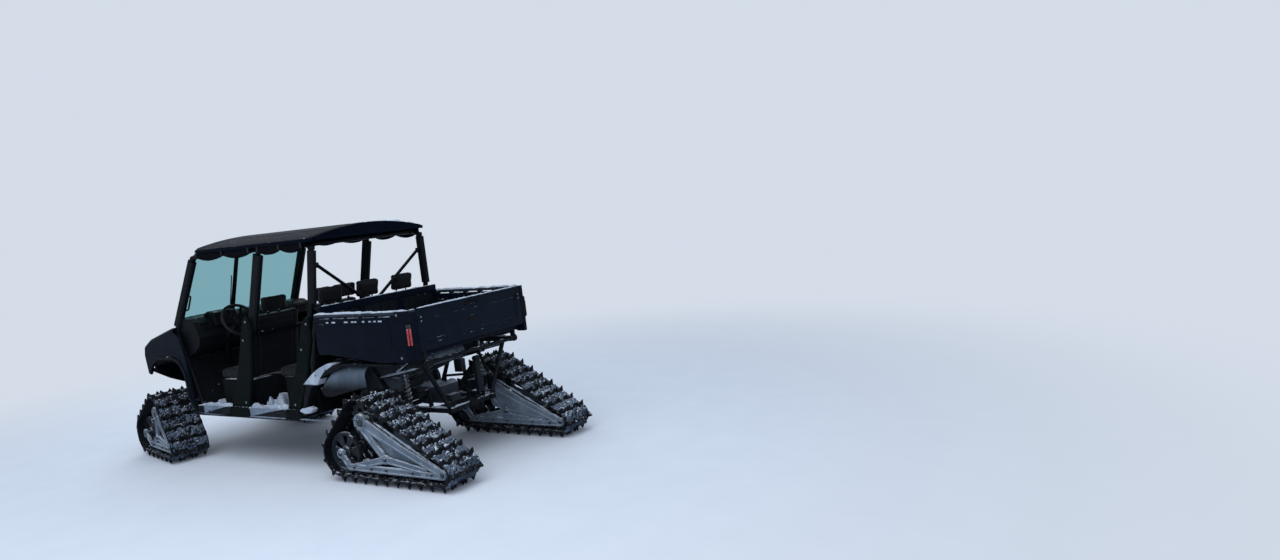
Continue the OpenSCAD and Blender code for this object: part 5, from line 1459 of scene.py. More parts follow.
def build_curtains():
    """Side curtains rolled up under the roof's edge, each bay a roll that sags between its ties."""
    for side, name in ((1, "left"), (-1, "right")):
        for number, (x0, x1) in enumerate(((700, 1350), (1460, 2330))):
            rows, count = [], 72
            for i in range(count + 1):
                t = i / count
                x = x0 + (x1 - x0) * t
                swag = abs(sin(2 * pi * t))
                depth = 50 + 36 * swag ** 0.8 + 2.4 * noise.noise(Vector((x * 0.03, 3.0 * side, number)))
                row = []
                for k in range(16):
                    angle = 2 * pi * k / 16
                    crease = noise.noise(Vector((x * 0.02, k * 0.9, 5 + side)))
                    fold = 1 + 0.07 * sin(5 * angle + 9 * t + number) + 0.06 * crease
                    wide = 16.0 * (0.82 + 0.18 * swag) * (1 if i not in (0, count) else 0.8)
                    y = 683.5 + wide * cos(angle) * fold
                    z = 2061 - depth / 2 + depth / 2 * sin(angle) * min(1.0, fold if sin(angle) < 0 else 1)
                    row.append((x, side * max(666, min(701, y)), min(2061.5, z)))
                rows.append(row)
            roll = Piece(f"rolled_curtain_{name}_{number + 1}")
            roll.add(loft(rows), curtain_cloth())
            thing = roll.done("rolled_curtains", sharp=70)
            ties = Piece(f"curtain_ties_{name}_{number + 1}")
            for t in (0.02, 0.5, 0.98):
                x = x0 + (x1 - x0) * t
                strap = bent([(x, side * 666.5, 2061), (x, side * 665.6, 2009), (x, side * 702, 2009),
                              (x, side * 702, 2061)], 10)
                ties.add(tube(strap, 1, section=[(-11, -0.7), (11, -0.7), (11, 0.7), (-11, 0.7)],
                              side=Vector((1, 0, 0))), web_strap())
            ties.done()


def screen_place():
    """The windscreen's own frame, X up the glass, Y to the left and Z ahead out of it, and its length."""
    run = Vector(A_TOP) - Vector(A_BASE)
    up = Vector((run.x, 0, run.z)).normalized()
    out = Vector((0, 1, 0)).cross(up)
    matrix = Matrix((up, Vector((0, 1, 0)), out)).transposed().to_4x4()
    return Matrix.Translation(Vector((A_BASE[0], 0, A_BASE[2]))) @ matrix, hypot(run.x, run.z)


def build_screen():
    place, long = screen_place()
    face = 23.6
    front = face + 9
    pane = Piece("windscreen_glass", place=place)
    corners = rounded_path([(30, -700), (30, 700), (long - 10, 651), (long - 10, -651)], 40, 5)
    pane.add(column(corners, face, face + 5.6, 1.2), screen_glass())
    pane.done("windscreen", slot="tinted_screen")
    trim = Piece("windscreen_trim", place=place)
    inner = rounded_path([(50, -676), (50, 676), (long - 30, 628), (long - 30, -628)], 36, 5)
    trim.add(column([corners, inner], face + 5.7, front, 1), moulded_black())
    for s in (-1, 1):
        for t in (0.12, 0.5, 0.88):
            spot = (30 + (long - 40) * t, s * (688 - 48 * t), front)
            trim.add(lathe([(0, 0), (13, 0), (13, 4), (9, 8), (0, 8)], spot, "z", 16), bare_steel())
    # The middle bar stands behind the glass
    bar = [(50, 54), (50, 98), (long - 70, 168), (long - 70, 126)]
    trim.add(column([bar], face - 14, face - 0.6, 2), moulded_black())
    trim.done()
    wiper, black = Piece("wiper_arm", place=place), grip_rubber()
    wiper.add(lathe([(0, 0), (15, 0), (15, 9), (10, 15), (0, 15)], (60, 80, front), "z", 20), black)
    arm = [(60, 80, face + 18), (180, 96, face + 19), (420, 130, face + 17), (530, 146, face + 14)]
    wiper.add(tube(arm, [6, 5, 4, 3], 8), black)
    for z, w in ((face + 11, 2.2), (face + 14, 4.0)):
        blade = [(-w, -1.6), (w, -1.6), (w, 1.6), (-w, 1.6)]
        wiper.add(tube([(180, 100, z), (530, 149, z)], 1, section=blade), black)
    wiper.done("wiper")


def build_dash():
    dash = Piece("dashboard_body")
    black, grey = moulded_black(), grip_rubber()
    front = [(2520, 1130), (2490, 1215), (2560, 1375), (2640, 1412), (2790, 1420), (2815, 1320),
             (2765, 1014), (2700, 1032), (2600, 1080)]
    hollow = [(-620, -260, 1175, 1275), (-180, 130, 1165, 1230)]
    # The dash is cut into slabs across the car so that the glove box and the tray stay open
    stops = [-688, -620, -260, -180, 130, 688]
    for y0, y1 in zip(stops, stops[1:]):
        mid = (y0 + y1) / 2
        hole = next((h for h in hollow if h[0] <= mid <= h[1]), None)
        if hole is None:
            edge = 4 if y0 == stops[0] or y1 == stops[-1] else 0.2
            dash.add(plate(rounded_path(front, 14), y0, y1, edge, 2), black)
            continue
        z0, z1 = hole[2:]
        mouth = [(2505, z0), (2630, z0), (2630, z1), (2509 if z1 < 1250 else 2517, z1)]
        dash.add(plate(rounded_path(front[:1] + mouth + front[2:], 6), y0, y1, 0.2), black)
        dash.add(block(2488, 2500, y0 + 8, y1 - 8, z0 - 22, z0 - 4, 4), grey)
    hood = rounded_path([(2474, 1302), (2500, 1438), (2608, 1460), (2700, 1412), (2560, 1332)], 16)
    dash.add(plate(hood, 247, 503, 8, 3), black)
    # Gauge panel, vents, switches and a shift lever
    gauge = lathe([(0, 0), (52, 0), (56, 6), (56, 12), (50, 14), (47, 8), (0, 8)], (0, 0, 0), "z", 32)
    dash.add(moved(gauge, Matrix.Translation((2486, 375, 1398)) @ Matrix.Rotation(radians(-100), 4, "Y")),
             grey)
    for y in (-560, -330, 190, 590):
        for k in range(5):
            x, z = 2518 + k * 7, 1298 + k * 13
            dash.add(block(x, x + 12, y - 44, y + 44, z, z + 4, 1), grey)
        frame_rings = [round_outline(110, 84, 10, 3, y, 1325), round_outline(92, 66, 8, 3, y, 1325)]
        dash.add(upright(frame_rings, 2528, 2544, 2), grey)
    for k in range(6):
        dash.add(block(2502, 2516, -160 + k * 46, -126 + k * 46, 1246, 1272, 3), grey)
    lever = bent([(2560, 60, 1150), (2470, 60, 1120), (2430, 60, 1200)], 30)
    dash.add(tube(lever, 8, 12), chassis_paint())
    dash.add(lathe([(0, -24), (14, -20), (18, 0), (14, 20), (0, 24)], (2426, 60, 1215), "z", 18), grey)
    dash.done("dashboard", slot="dark_trim")


def build_steering_wheel():
    wheel = Piece("steering_wheel_rim", "steering_wheel_unit")
    place = Matrix.Translation((2265, 375, 1345)) @ Matrix.Rotation(radians(122), 4, "Y")
    radius = 175
    rim = [(radius + 15 * cos(2 * pi * k / 14), 15 * sin(2 * pi * k / 14)) for k in range(14)]
    wheel.add(moved(lathe(rim, (0, 0, 0), "z", 56, closed=True), place), grip_rubber())
    # Raised bands on the rim where it is gripped
    for k in range(28):
        angle = 2 * pi * k / 28
        if abs(sin(angle * 1.5)) > 0.5:
            spot, along = (radius * cos(angle), radius * sin(angle), 0), (-sin(angle), cos(angle), 0)
            band = lathe([(13, -3), (16, -3), (16, 3), (13, 3)], spot, along, 12, closed=True)
            wheel.add(moved(band, place), grip_rubber())
    hub = [(0, -14), (48, -14), (60, -6), (62, 6), (58, 18), (40, 22), (0, 22)]
    wheel.add(moved(lathe(hub, (0, 0, 0), "z", 32), place), moulded_black())
    for degree in (90, 210, 330):
        spoke = loft([[(r, -w, -6), (r, w, -6), (r, w * 0.8, 5), (r, -w * 0.8, 5)]
                      for r, w in ((50, 24), (90, 17), (165, 13))])
        wheel.add(moved(spoke, place @ Matrix.Rotation(radians(degree), 4, "Z")), moulded_black())
    wheel.add(tube([(2265, 375, 1345), (2265 + 0.848 * 138, 375, 1345 - 0.53 * 138)], 11.8, 16),
              chassis_paint())
    wheel.done("steering_wheel")


def caked_snow():
    return finish("caked snow", "64707f", "8a96a5", 0.8, snow=(0.5, 0.02, 14.0), specular=0.2)


def build_sills():
    tub, sill = Piece("cab_tub"), sill_plastic()
    outline = [(1000, 451), (2585, 451), (2600, 481), (2595, 551), (1010, 551), (986, 491)]
    tub.pair(plate(rounded_path(outline, 8), 699, 755, 6, 3), sill)
    for x in range(1080, 2540, 60):
        tub.pair(block(x, x + 34, 706, 748, 549, 554, 2), sill)
    for x in (1330, 1860, 2400):
        tub.pair(hex_bolt((x, 755, 500), (0, 1, 0), 18, 7), chassis_paint())
    # Feet of the post covers, which run down over the sill
    for foot in ([(1000, 462), (1212, 462), (1186, 556), (1000, 556)],
                 [(1752, 462), (2082, 462), (2052, 556), (1762, 556)]):
        tub.pair(plate(rounded_path(foot, 10), 740, 759, 4, 2), cover_plastic())
    tub.done("sills", slot="dark_trim")


def build_post_covers():
    covers, cover = Piece("post_covers"), cover_plastic()
    front = [(1760, 553), (2050, 553), (1925, 760), (1730, 1250), (1655, 1420), (1598, 1420), (1560, 1290),
             (1640, 900)]
    back = [(1000, 553), (1190, 553), (1050, 800), (890, 1160), (770, 1400), (705, 1400), (712, 1200),
            (850, 830)]
    for shape, bolts in ((front, ((1800, 600), (1700, 1200), (1625, 1375))),
                         (back, ((1060, 600), (860, 1110), (745, 1340)))):
        covers.pair(plate(rounded_path(shape, 24, 5), 709, 737.5, 9, 3), cover)
        middle = sum(p[0] for p in shape) / 8, sum(p[1] for p in shape) / 8
        inner = [(x * 0.86 + 0.14 * middle[0], z * 0.93 + 0.07 * middle[1]) for x, z in shape]
        covers.pair(plate(rounded_path(inner, 18, 4), 734, 741, 3, 2), cover)
        for x, z in bolts:
            covers.pair(lathe([(0, 0), (11, 0), (11, 2), (7, 5), (0, 5)], (x, 740.5, z), "y", 14),
                        bare_steel())
    covers.done("pillar_covers", slot="dark_trim")


def lay_cab_snow():
    """Snow on the sills, caked on their sides, and trodden over the floor."""
    snow = Piece("cab_snow")
    white = packed_snow()
    for x0, x1, seed in ((1180, 1745, 1.1), (2060, 2560, 2.7)):
        snow.add(snow_ridge([(x1, 716, 552), ((x0 + x1) / 2, 716, 552), (x0, 716, 552)], 26,
                            24 + 14 * (x0 < 1500), seed, -0.3), white)
        x1 -= 60 * (x1 > 2000)
        side = [(x1 - 8, 474)] + [(x0 + 14 + (x1 - x0 - 22) * k / 14,
                                   470 + 7 * noise.noise((k * 0.9, seed, 0))) for k in range(15)]
        side += [(x0 + 14, 556), (x1 - 8, 556)]
        snow.pair(plate(rounded_path(side, 8, 2), 738, 757.5, 5, 3), caked_snow())
        snow.add(snow_blanket(flat_patch(x0 + 20, x1 - 30, 330, 700, 507), 26, 34, 74 + 60 * (x0 < 1500),
                              0.16, seed, 0.011, 4), white)
        snow.add(snow_ridge([(x1, -716, 552), (x0, -716, 552)], 24, 18, seed + 4, 0.2), white)
        snow.add(snow_blanket(flat_patch(x0 + 20, x1 - 30, -690, -330, 507), 24, 34, 20, -0.12, seed + 3,
                              0.011, 4), white)
    snow.done(sharp=60)


def build_seat_bases():
    boxes, liner = Piece("seat_bases"), floor_liner()
    for x0, x1, y0, y1, top, holes in ((1792, 2310, 102, 628, 796, ((140, 590),)),
                                       (1792, 2310, -628, -32, 796, ((-590, -70),)),
                                       (862, 1350, -600, 600, 826, ((-560, -20), (20, 560)))):
        rim = [(y0, 508), (y1, 508), (y1, top - 1), (y0, top - 1)]
        cuts = [rounded_path([(a, 548), (b, 548), (b, top - 32), (a, top - 32)], 16) for a, b in holes]
        boxes.add(upright([rim] + cuts, x1 - 12, x1, 3, 2), liner)
        boxes.add(block(x0, x0 + 12, y0, y1, 508, top - 1, 3), liner)
        boxes.add(block(x0 + 4, x1 - 4, y0, y0 + 12, 508, top - 1, 3), liner)
        boxes.add(block(x0 + 4, x1 - 4, y1 - 12, y1, 508, top - 1, 3), liner)
        boxes.add(block(x0 + 4, x1 - 4, y0 + 4, y1 - 4, top - 14, top - 1, 3), liner)
    boxes.done("seat_boxes", slot="dark_trim")


def build_cab_wall():
    wall = Piece("cab_back_panel")
    path = [(830, 512), (830, 826), (800, 960), (720, 1414)]
    for y0, y1 in ((-655, -440), (-432, -222), (-214, -4), (4, 214), (222, 432), (440, 655)):
        outline = [(x - 7, z) for x, z in path] + [(x + 7, z) for x, z in reversed(path)]
        wall.add(plate(outline, y0, y1, 4, 2), cover_plastic())
    outline = [(x - 4, z) for x, z in path] + [(x + 4, z) for x, z in reversed(path)]
    wall.add(plate(outline, -650, 650, 1), floor_liner())
    wall.done("cab_rear_wall", slot="dark_trim")


def cushion_mesh(x0, x1, y0, y1, z0, z1, edge, voxel, cap, place=Matrix.Identity(4)):
    """A padded block: remeshed, swollen by a short cloth run, its travel capped, then smoothed."""
    points, faces = moved(block(x0, x1, y0, y1, z0, z1, edge, 4), place)
    pad = bpy.data.objects.new("pad", outward_mesh("pad", in_metres(points), faces))
    bpy.context.scene.collection.objects.link(pad)
    change = pad.modifiers.new("even", "REMESH")
    change.mode, change.voxel_size = "VOXEL", voxel
    pad = replaced_by_result(pad)
    start = np.empty(len(pad.data.vertices) * 3)
    pad.data.vertices.foreach_get("co", start)
    cloth = pad.modifiers.new("swell", "CLOTH")
    cloth.settings.use_pressure, cloth.settings.uniform_pressure_force = True, 4
    cloth.settings.effector_weights.gravity = 0
    cloth.settings.quality = 4
    cloth.point_cache.frame_start, cloth.point_cache.frame_end = 1, 20
    for number in range(1, 21):
        bpy.context.scene.frame_set(number)
    pad = replaced_by_result(pad)
    end = np.empty(len(start))
    pad.data.vertices.foreach_get("co", end)
    move = (end - start).reshape(-1, 3)
    reach = np.linalg.norm(move, axis=1, keepdims=True)
    move *= np.minimum(1.0, cap / np.maximum(reach, 1e-9))
    pad.data.vertices.foreach_set("co", (start.reshape(-1, 3) + move).ravel())
    bpy.context.scene.frame_set(1)
    smooth = pad.modifiers.new("smooth", "SUBSURF")
    smooth.levels = smooth.render_levels = 1
    return replaced_by_result(pad)


def replaced_by_result(thing):
    """The object with its modifiers applied."""
    graph = bpy.context.evaluated_depsgraph_get()
    mesh = bpy.data.meshes.new_from_object(thing.evaluated_get(graph), depsgraph=graph)
    bpy.data.objects.remove(thing)
    fresh = bpy.data.objects.new("pad", mesh)
    bpy.context.scene.collection.objects.link(fresh)
    return fresh


def stitched(pad, name, seams, insert, *stands_for):
    """Presses seams into a pad and gives its middle field the cloth finish.

    seams are (axis point, normal) planes in metres; insert tells whether a point lies in the field."""
    mesh = pad.data
    count = len(mesh.vertices)
    points, normals = np.empty(count * 3), np.empty(count * 3)
    mesh.vertices.foreach_get("co", points)
    mesh.vertices.foreach_get("normal", normals)
    points, normals = points.reshape(-1, 3), normals.reshape(-1, 3)
    for at, normal, deep, wide in seams:
        away = np.abs((points - np.array(at)) @ np.array(normal))
        points = points - normals * (deep * np.exp(-((away / wide) ** 2)))[:, None]
    mesh.vertices.foreach_set("co", points.ravel())
    mesh.materials.clear()
    mesh.materials.append(seat_vinyl())
    mesh.materials.append(seat_cloth())
    for face in mesh.polygons:
        face.material_index = 1 if insert(face.center) else 0
    mesh.polygons.foreach_set("use_smooth", [True] * len(mesh.polygons))
    mesh.update()
    pad.name = mesh.name = name
    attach(pad, "chassis")
    if stands_for:
        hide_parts(*stands_for)
    return pad


def build_seats():
    voxel = 0.008
    lean = Matrix.Rotation(radians(-12), 4, "Y")
    up, ahead = lean.to_3x3() @ Vector((0, 0, 1)), lean.to_3x3() @ Vector((1, 0, 0))
    # Each seat's name, rear end, sides, base height, number of places and headrests
    seats = (("front_left", 1880, 90, 640, 796, 1, (365,)),
             ("front_right", 1880, -640, -20, 796, 2, (-175, -485)),
             ("rear", 950, -640, 640, 826, 3, (-430, 0, 430)))
    nodes = {"front_left": ("front_seat_cushions", "front_seat_backs"), "front_right": (),
             "rear": ("rear_seat_cushion", "rear_seat_back")}
    for name, x, y0, y1, z, places, heads in seats:
        grid = voxel * 1.15 if name == "rear" else voxel
        splits = [y0 + (y1 - y0) * k / places for k in range(1, places)]
        across = [((0, y / 1000, 0), (0, 1, 0), 0.007, 0.008) for y in splits]
        across += [((0, y / 1000, 0), (0, 1, 0), 0.005, 0.006) for y in (y0 + 90, y1 - 90)]
        low, high = (y0 + 90) / 1000, (y1 - 90) / 1000

        pad = cushion_mesh(x + 30, x + 440, y0 + 10, y1 - 10, z + 9, z + 92, 26, grid, 0.009)
        seams = [(((x + k + AXLE_X) / 1000, 0, 0), (1, 0, 0), 0.004, 0.007) for k in (150, 260, 360)]
        fore, aft = (x + 360 + AXLE_X) / 1000, (x + 60 + AXLE_X) / 1000
        stitched(pad, name + "_seat_cushion", across + seams,
                 lambda c: low < c.y < high and aft < c.x < fore and c.z > (z + 60) / 1000,
                 *nodes[name][:1])

        place = Matrix.Translation((x + 14, 0, z + 13.2)) @ lean
        pad = cushion_mesh(-96, -9, y0 + 10, y1 - 10, 9, 631, 30, grid, 0.009, place)
        seams = []
        for k in (150, 300, 450, 545):
            at = place @ Vector((0, 0, k))
            seams.append((((at.x + AXLE_X) / 1000, 0, at.z / 1000), tuple(up), 0.004, 0.007))
        top = (place @ Vector((0, 0, 545))).z / 1000
        middle = place @ Vector((-52, 0, 300))
        middle = Vector(((middle.x + AXLE_X) / 1000, 0, middle.z / 1000))

        def in_front(c):
            return (Vector((c.x, 0, c.z)) - middle).dot(ahead) > 0.02

        stitched(pad, name + "_seat_back", across + seams,
                 lambda c: low < c.y < high and c.z < top and in_front(c), *nodes[name][1:])

        posts = Piece(name + "_headrest_posts")
        for y in heads:
            half, low_end, high_end = (119, 672, 824) if name == "rear" else (132, 650, 786)
            pad = cushion_mesh(-87, -20, y - half, y + half, low_end, high_end, 26, 0.008, 0.006, place)
            seams = [((0, y / 1000 + s, 0), (0, 1, 0), 0.003, 0.005) for s in (-0.07, 0.07)]
            stitched(pad, f"{name}_headrest_{int(abs(y))}", seams,
                     lambda c, y=y: abs(c.y - y / 1000) < 0.07 and in_front(c))
            for s in (-60, 60):
                bar = lathe([(0, 600), (7, 600), (7, 690), (0, 690)], (-52, y + s, 0), "z", 12)
                collar = lathe([(7, 622), (14, 624), (14, 636), (7, 640)], (-52, y + s, 0), "z", 14,
                               closed=True)
                posts.add(moved(bar, place), bare_steel())
                posts.add(moved(collar, place), grip_rubber())
        posts.done()


def build_cab():
    build_cage()
    build_roof()
    build_curtains()
    build_screen()
    build_dash()
    build_steering_wheel()
    build_sills()
    build_post_covers()
    lay_cab_snow()
    build_seat_bases()
    build_cab_wall()
    build_seats()


# Front body, lamps, brush guard and rear fenders

HOOD_TOP = ((2742, 1342), (2890, 1335), (3060, 1290), (3300, 1225), (3405, 1165))
EDGE = ((2592, 456), (2652, 610), (2688, 1010), (2742, 1235), (2872, 1322))
ARCH = ((2618, 456), (2715, 620), (2742, 860), (2800, 960), (2900, 1010), (3190, 1010), (3300, 940),
        (3350, 850))


def hood_z(x):
    for (x0, z0), (x1, z1) in zip(HOOD_TOP, HOOD_TOP[1:]):
        if x <= x1:
            return z0 + (z1 - z0) * (x - x0) / (x1 - x0)
    return HOOD_TOP[-1][1]


def on_hood(u, v):
    x, y = 2892 + 511 * v, -498 + 996 * u
    swell = 9 * (1 - (y / 498) ** 2) ** 0.5 if abs(y) < 498 else 0
    ridge = 6 * max(0.0, 1 - abs(abs(y) - 330) / 46) * min(1, 4 * v, 4 * (1 - v))
    scoop = 6 * max(0.0, 1 - abs(abs(y) - 240) / 60) * max(0.0, min(1, (1 - abs(v - 0.54) / 0.14) * 6))
    return x, y, hood_z(x) - 9 + swell + ridge - scoop


def build_hood():
    hood, paint, black = Piece("hood_panel"), panel_paint(), moulded_black()
    hood.add(shell(on_hood, 60, 36, (0, 0, -13)), paint)
    for y in (-240, 240):
        hood.add(column([rounded_path([(3108, y - 72), (3232, y - 72), (3232, y + 72), (3108, y + 72)], 18),
                         rounded_path([(3120, y - 60), (3220, y - 60), (3220, y + 60), (3120, y + 60)],
                                      12)], -6, 5, 2), black)
    hood.points = [(x, y, z + hood_z(x) - 2) if abs(z) < 40 else (x, y, z) for x, y, z in hood.points]
    for y in (-240, 240):
        for k in range(6):
            x = 3128 + k * 17
            hood.add(block(x, x + 9, y - 58, y + 58, hood_z(x) - 16, hood_z(x) - 3, 2), black)
    for x, y in ((2930, 440), (3360, 440)):
        hood.pair(hex_bolt((x, y, hood_z(x) - 1), (0.2, 0, 1), 16, 6), black)
    hood.done("hood", slot="body_plastic")


def build_front_fenders():
    fender, paint, black = Piece("front_fender_panels"), panel_paint(), moulded_black()
    side = list(EDGE[:4]) + [(2850, 1296)] + [(x, z - 34) for x, z in HOOD_TOP[2:]]
    side += [(3425, 1060), (3400, 862)] + list(reversed(ARCH))
    fender.pair(plate(rounded_path(side, 16, 3), 737, 755, 6, 3), paint)
    # Rounded shoulder between the side and the top
    rows = []
    for k in range(25):
        x = 2846 + (3404 - 2846) * k / 24
        z = hood_z(x) - 2
        turn = [pi / 2 * t / 7 for t in range(8)]
        outer = [(x, BODY_HALF - 44 + 44 * sin(a), z - 44 + 44 * cos(a)) for a in turn]
        inner = [(x, 742 - 31 + 31 * sin(a), z - 44 + 30 * cos(a)) for a in reversed(turn)]
        rows.append([(x, 502, z)] + outer + inner + [(x, 502, z - 14)])
    fender.pair(loft(rows), paint)
    outer = [(x - 26, z + 6) if k < 3 else (x - 8, z + 34) for k, (x, z) in enumerate(ARCH)]
    flare = list(ARCH) + list(reversed(outer))
    fender.pair(plate(rounded_path(flare, 12, 3), 748, 768, 6, 3), black)
    liner = list(ARCH[1:7])
    liner += [(x - (3 if k < 5 else 0), z + 14) for k, (x, z) in reversed(list(enumerate(ARCH[1:7])))]
    fender.pair(plate(liner, 332, 742, 2), black)
    # Inner wall of the wheel arch, against the towers of the frame
    wall = [(2660, 640), (3390, 640), (3392, 900), (3280, 1000), (2960, 1040), (2715, 1030)]
    fender.pair(plate(rounded_path(wall, 14, 3), 229, 236, 2), black)
    # Raised crease along the side, and the filler of the door post
    crease = [(2712, 753, 1040), (2900, 753.5, 1084), (3180, 753.5, 1080), (3380, 753, 1030)]
    fender.pair(tube(crease, [2, 5, 5, 2], 8), paint)
    filler = [(2596, 470), (2618, 470), (2700, 620), (2728, 980), (2790, 1230), (2740, 1228), (2692, 1010),
              (2656, 610)]
    fender.pair(plate(rounded_path(filler, 12), 726, 740, 3), black)
    for x, z in ((2660, 560), (2705, 900), (2760, 1200), (3250, 1090)):
        fender.pair(hex_bolt((x, 754, z), (0, 1, 0), 14, 5), black)
    fender.done("front_fenders", slot="body_plastic")


def build_nose():
    nose, paint, black = Piece("nose_panel"), panel_paint(), moulded_black()
    ring = [(3300, -737), (3385, -665), (3438, -430), (3455, 0), (3438, 430), (3385, 665), (3300, 737)]
    line = [(p.x, p.y) for p in bent([(x, y, 0) for x, y in ring], 60, 5)]

    def band(path, z0, z1, *rest):
        """The part of the nose along a path, 15 mm thick."""
        return column(path + [(x - 15, y * 0.978) for x, y in reversed(path)], z0, z1, *rest)

    nose.add(band(line, 1060, 1146, 4, 2), paint)
    low = [(3412, -545)] + [p for p in line if abs(p[1]) < 540] + [(3412, 545)]
    nose.add(band(low, 780, 880, 4, 2), black)
    # The corners of the nose rise outwards
    corner = [(260, 792), (260, 627), (369, 681), (544, 767), (738, 896), (738, 910), (540, 910),
              (540, 792)]
    nose.pair(upright(corner, 3386, 3396, 2), black)
    for s in (1, -1):
        part = [p for p in line if p[1] * s > 330]
        part = [(3442, 330 * s)] + part if s > 0 else part + [(3442, 330 * s)]
        nose.add(band(part, 876, 1064, 1), paint)
    for z in range(900, 1056, 36):
        slat = [(3448 - 0.00009 * y * y, y, z) for y in range(-328, 329, 41)]
        nose.add(tube(slat, 1, section=[(-7, -4), (7, -4), (9, 0), (7, 4), (-7, 4)]), black)
    for y in (-200, 0, 200):
        nose.add(block(3430, 3444, y - 8, y + 8, 882, 1058, 3), black)
    for y in (-490, 490):
        nose.add(lathe([(30, -12), (44, -12), (48, 0), (44, 12), (30, 12)], (3424, y, 850), "x", 28,
                       closed=True), black)
        nose.add(lathe([(0, -4), (30, -4), (30, 4), (0, 6)], (3424, y, 850), "x", 28), clear_lens())
    nose.done("fascia", slot="body_plastic")


def build_headlamps():
    lamps, black = Piece("headlamp_units"), moulded_black()
    turn = Matrix.Translation((3380, 600, 1094)) @ Matrix.Rotation(radians(13), 4, "Z")
    lamps.pair(moved(block(-42, 30, -115, 115, -52, 52, 12, 4), turn), black)
    for y in (-58, 44):
        bowl = [(0, 6), (20, 8), (36, 18), (42, 30), (46, 30), (44, 12), (20, -2), (0, -4)]
        lamps.pair(moved(lathe(bowl, (8, y, 0), "x", 30), turn), chrome_cup())
        lamps.pair(moved(lathe([(0, 4), (9, 8), (8, 20), (0, 24)], (8, y, 0), "x", 18), turn), clear_lens())
    lamps.pair(moved(block(34, 41.5, -112, 112, -49, 49, 7, 4), turn), clear_lens())
    for y in (-113, 105):
        lamps.pair(moved(block(28, 41, y, y + 8, -50, 50, 3), turn), black)
    lamps.done("headlamps", slot="lamp_lens")


def build_brush_guard():
    guard, steel = Piece("brush_guard"), chassis_paint()
    run = [(3492, 0, 850), (3492, 470, 850), (3496, 520, 960), (3490, 520, 1110), (3470, 440, 1235),
           (3470, 0, 1235)]
    half = bent(run, 60, 6)[:-1]
    whole = half + [Vector((p.x, -p.y, p.z)) for p in reversed(half[1:])]
    guard.add(tube(whole, 19.5, 18, closed=True), steel)
    for s in (1, -1):
        guard.add(tube([(3488, 200 * s, 852), (3472, 200 * s, 1234)], 14, 14), steel)
        guard.add(tube(bent([(3400, 262 * s, 735), (3482, 300 * s, 760), (3492, 300 * s, 850)], 24), 15,
                       14), steel)
        guard.add(block(3390, 3406, s * 261 - 25, s * 261 + 25, 660, 800, 4), steel)
        guard.add(tube([(3402, 255 * s, 705), (3432, 215 * s, 750)], 11, 12), steel)
        for z in (690, 770):
            guard.add(hex_bolt((3406, 261 * s, z), (1, 0, 0), 18, 8), bare_steel())
    # The plate for a winch, with its four holes
    winch = [(3410, -230), (3480, -230), (3480, 230), (3410, 230)]
    holes = [ring_outline(6, 14, x, y) for x in (3425, 3465) for y in (-127, 127)]
    guard.add(column([winch] + holes, 744, 756, 2), steel)
    guard.done("front_bumper", slot="black_steel")


def lay_hood_snow():
    snow = Piece("hood_snow")
    rear_half = snow_blanket(lambda u, v: on_hood(0.04 + 0.92 * u, 0.02 + 0.4 * v), 40, 24, 14, -0.05, 5.1,
                             0.012, 3)
    snow.add(rear_half, packed_snow())
    shoulder = snow_ridge([(2905, 560, 1328), (3060, 600, 1290), (3200, 640, 1252)], 40, 10, 2.0, 0.3)
    snow.pair(shoulder, packed_snow())
    lay_ridges(snow, ([(3442, -300, 1147), (3447, 0, 1147), (3442, 320, 1147)], 12, 8, 3.0, 0.25))
    snow.done(sharp=60)


def build_rear_fenders():
    fender = Piece("rear_fender_panels")
    black, grey = moulded_black(), fender_grey_painted_light()
    outer = [(970, 500), (908, 690), (840, 820), (760, 880), (650, 940)]
    inner = [(925, 500), (858, 660), (785, 765), (700, 820), (620, 865)]
    fender.pair(plate(rounded_path(outer + list(reversed(inner)), 18, 4), 663, 751, 8, 3), black)
    top = [(650, 940), (300, 988), (-300, 988), (-300, 964), (290, 964), (620, 867)]
    fender.pair(plate(rounded_path(top, 14, 3), 543, 751, 7, 3), black)
    # Domed guard over the front of the track: it rolls in at the top, where snow dusts it. Its grey top is
    # painted light from above, and its colour fades to painted shade towards the bottom
    rows, count = [], 24
    for k in range(count + 1):
        t = k / count
        x = 664 - 600 * t
        low = 690 + 126 * max(0.0, t - 0.25) ** 0.9 + 70 * (1 - min(1.0, t / 0.1)) ** 2
        high = 962 - 200 * max(0.0, 0.42 - t) ** 1.9 / 0.42 ** 1.9 if t < 0.42 else 962
        row = [(x, 750 - 62 * (1 - s / 0.45) ** 2 if s < 0.45 else 750 - 10 * (s - 0.45),
                high + (low - high) * s) for s in [m / 10 for m in range(11)]]
        row += [(px, y - 7, z) for px, y, z in reversed(row)]
        rows.append(row)
    fender.pair(loft(rows), grey)
    for x, z in ((880, 700), (700, 880), (560, 930), (60, 975)):
        fender.pair(hex_bolt((x, 751, z), (0, 1, 0), 14, 5), black)
    fender.done("rear_fenders", slot="dark_trim")
    snow = Piece("fender_snow")
    step = [(892, 792), (690, 792), (640, 862), (575, 915), (500, 950), (430, 984), (520, 989), (640, 950),
            (740, 900), (850, 824)]
    snow.pair(plate(rounded_path(step, 14, 3), 668, 754, 7, 3), packed_snow())
    patch = [(1004, 540), (930, 520), (842, 532), (806, 566), (862, 588), (968, 572)]
    snow.pair(plate(rounded_path(patch, 14, 3), 690, 753, 9, 3), packed_snow())
    snow.done(sharp=60)


def fender_grey_painted_light():
    # Painted light and shade: the grey top stands for light falling from above, and fade eases the colour to
    # near black from 0.875 m down to 0.745 m as painted shade; the snow on the top is real
    return finish("snow-dusted fender with painted light and shade", "414d58", "5a6773", 0.65, film=(0.2, 1.2, "6a7784"),
                  fade=(0.745, 0.875, "03070c"),
                  snow=(0.42, -0.02, 7.0), grain=(500, 0.0008), specular=0.15)


# Running gear

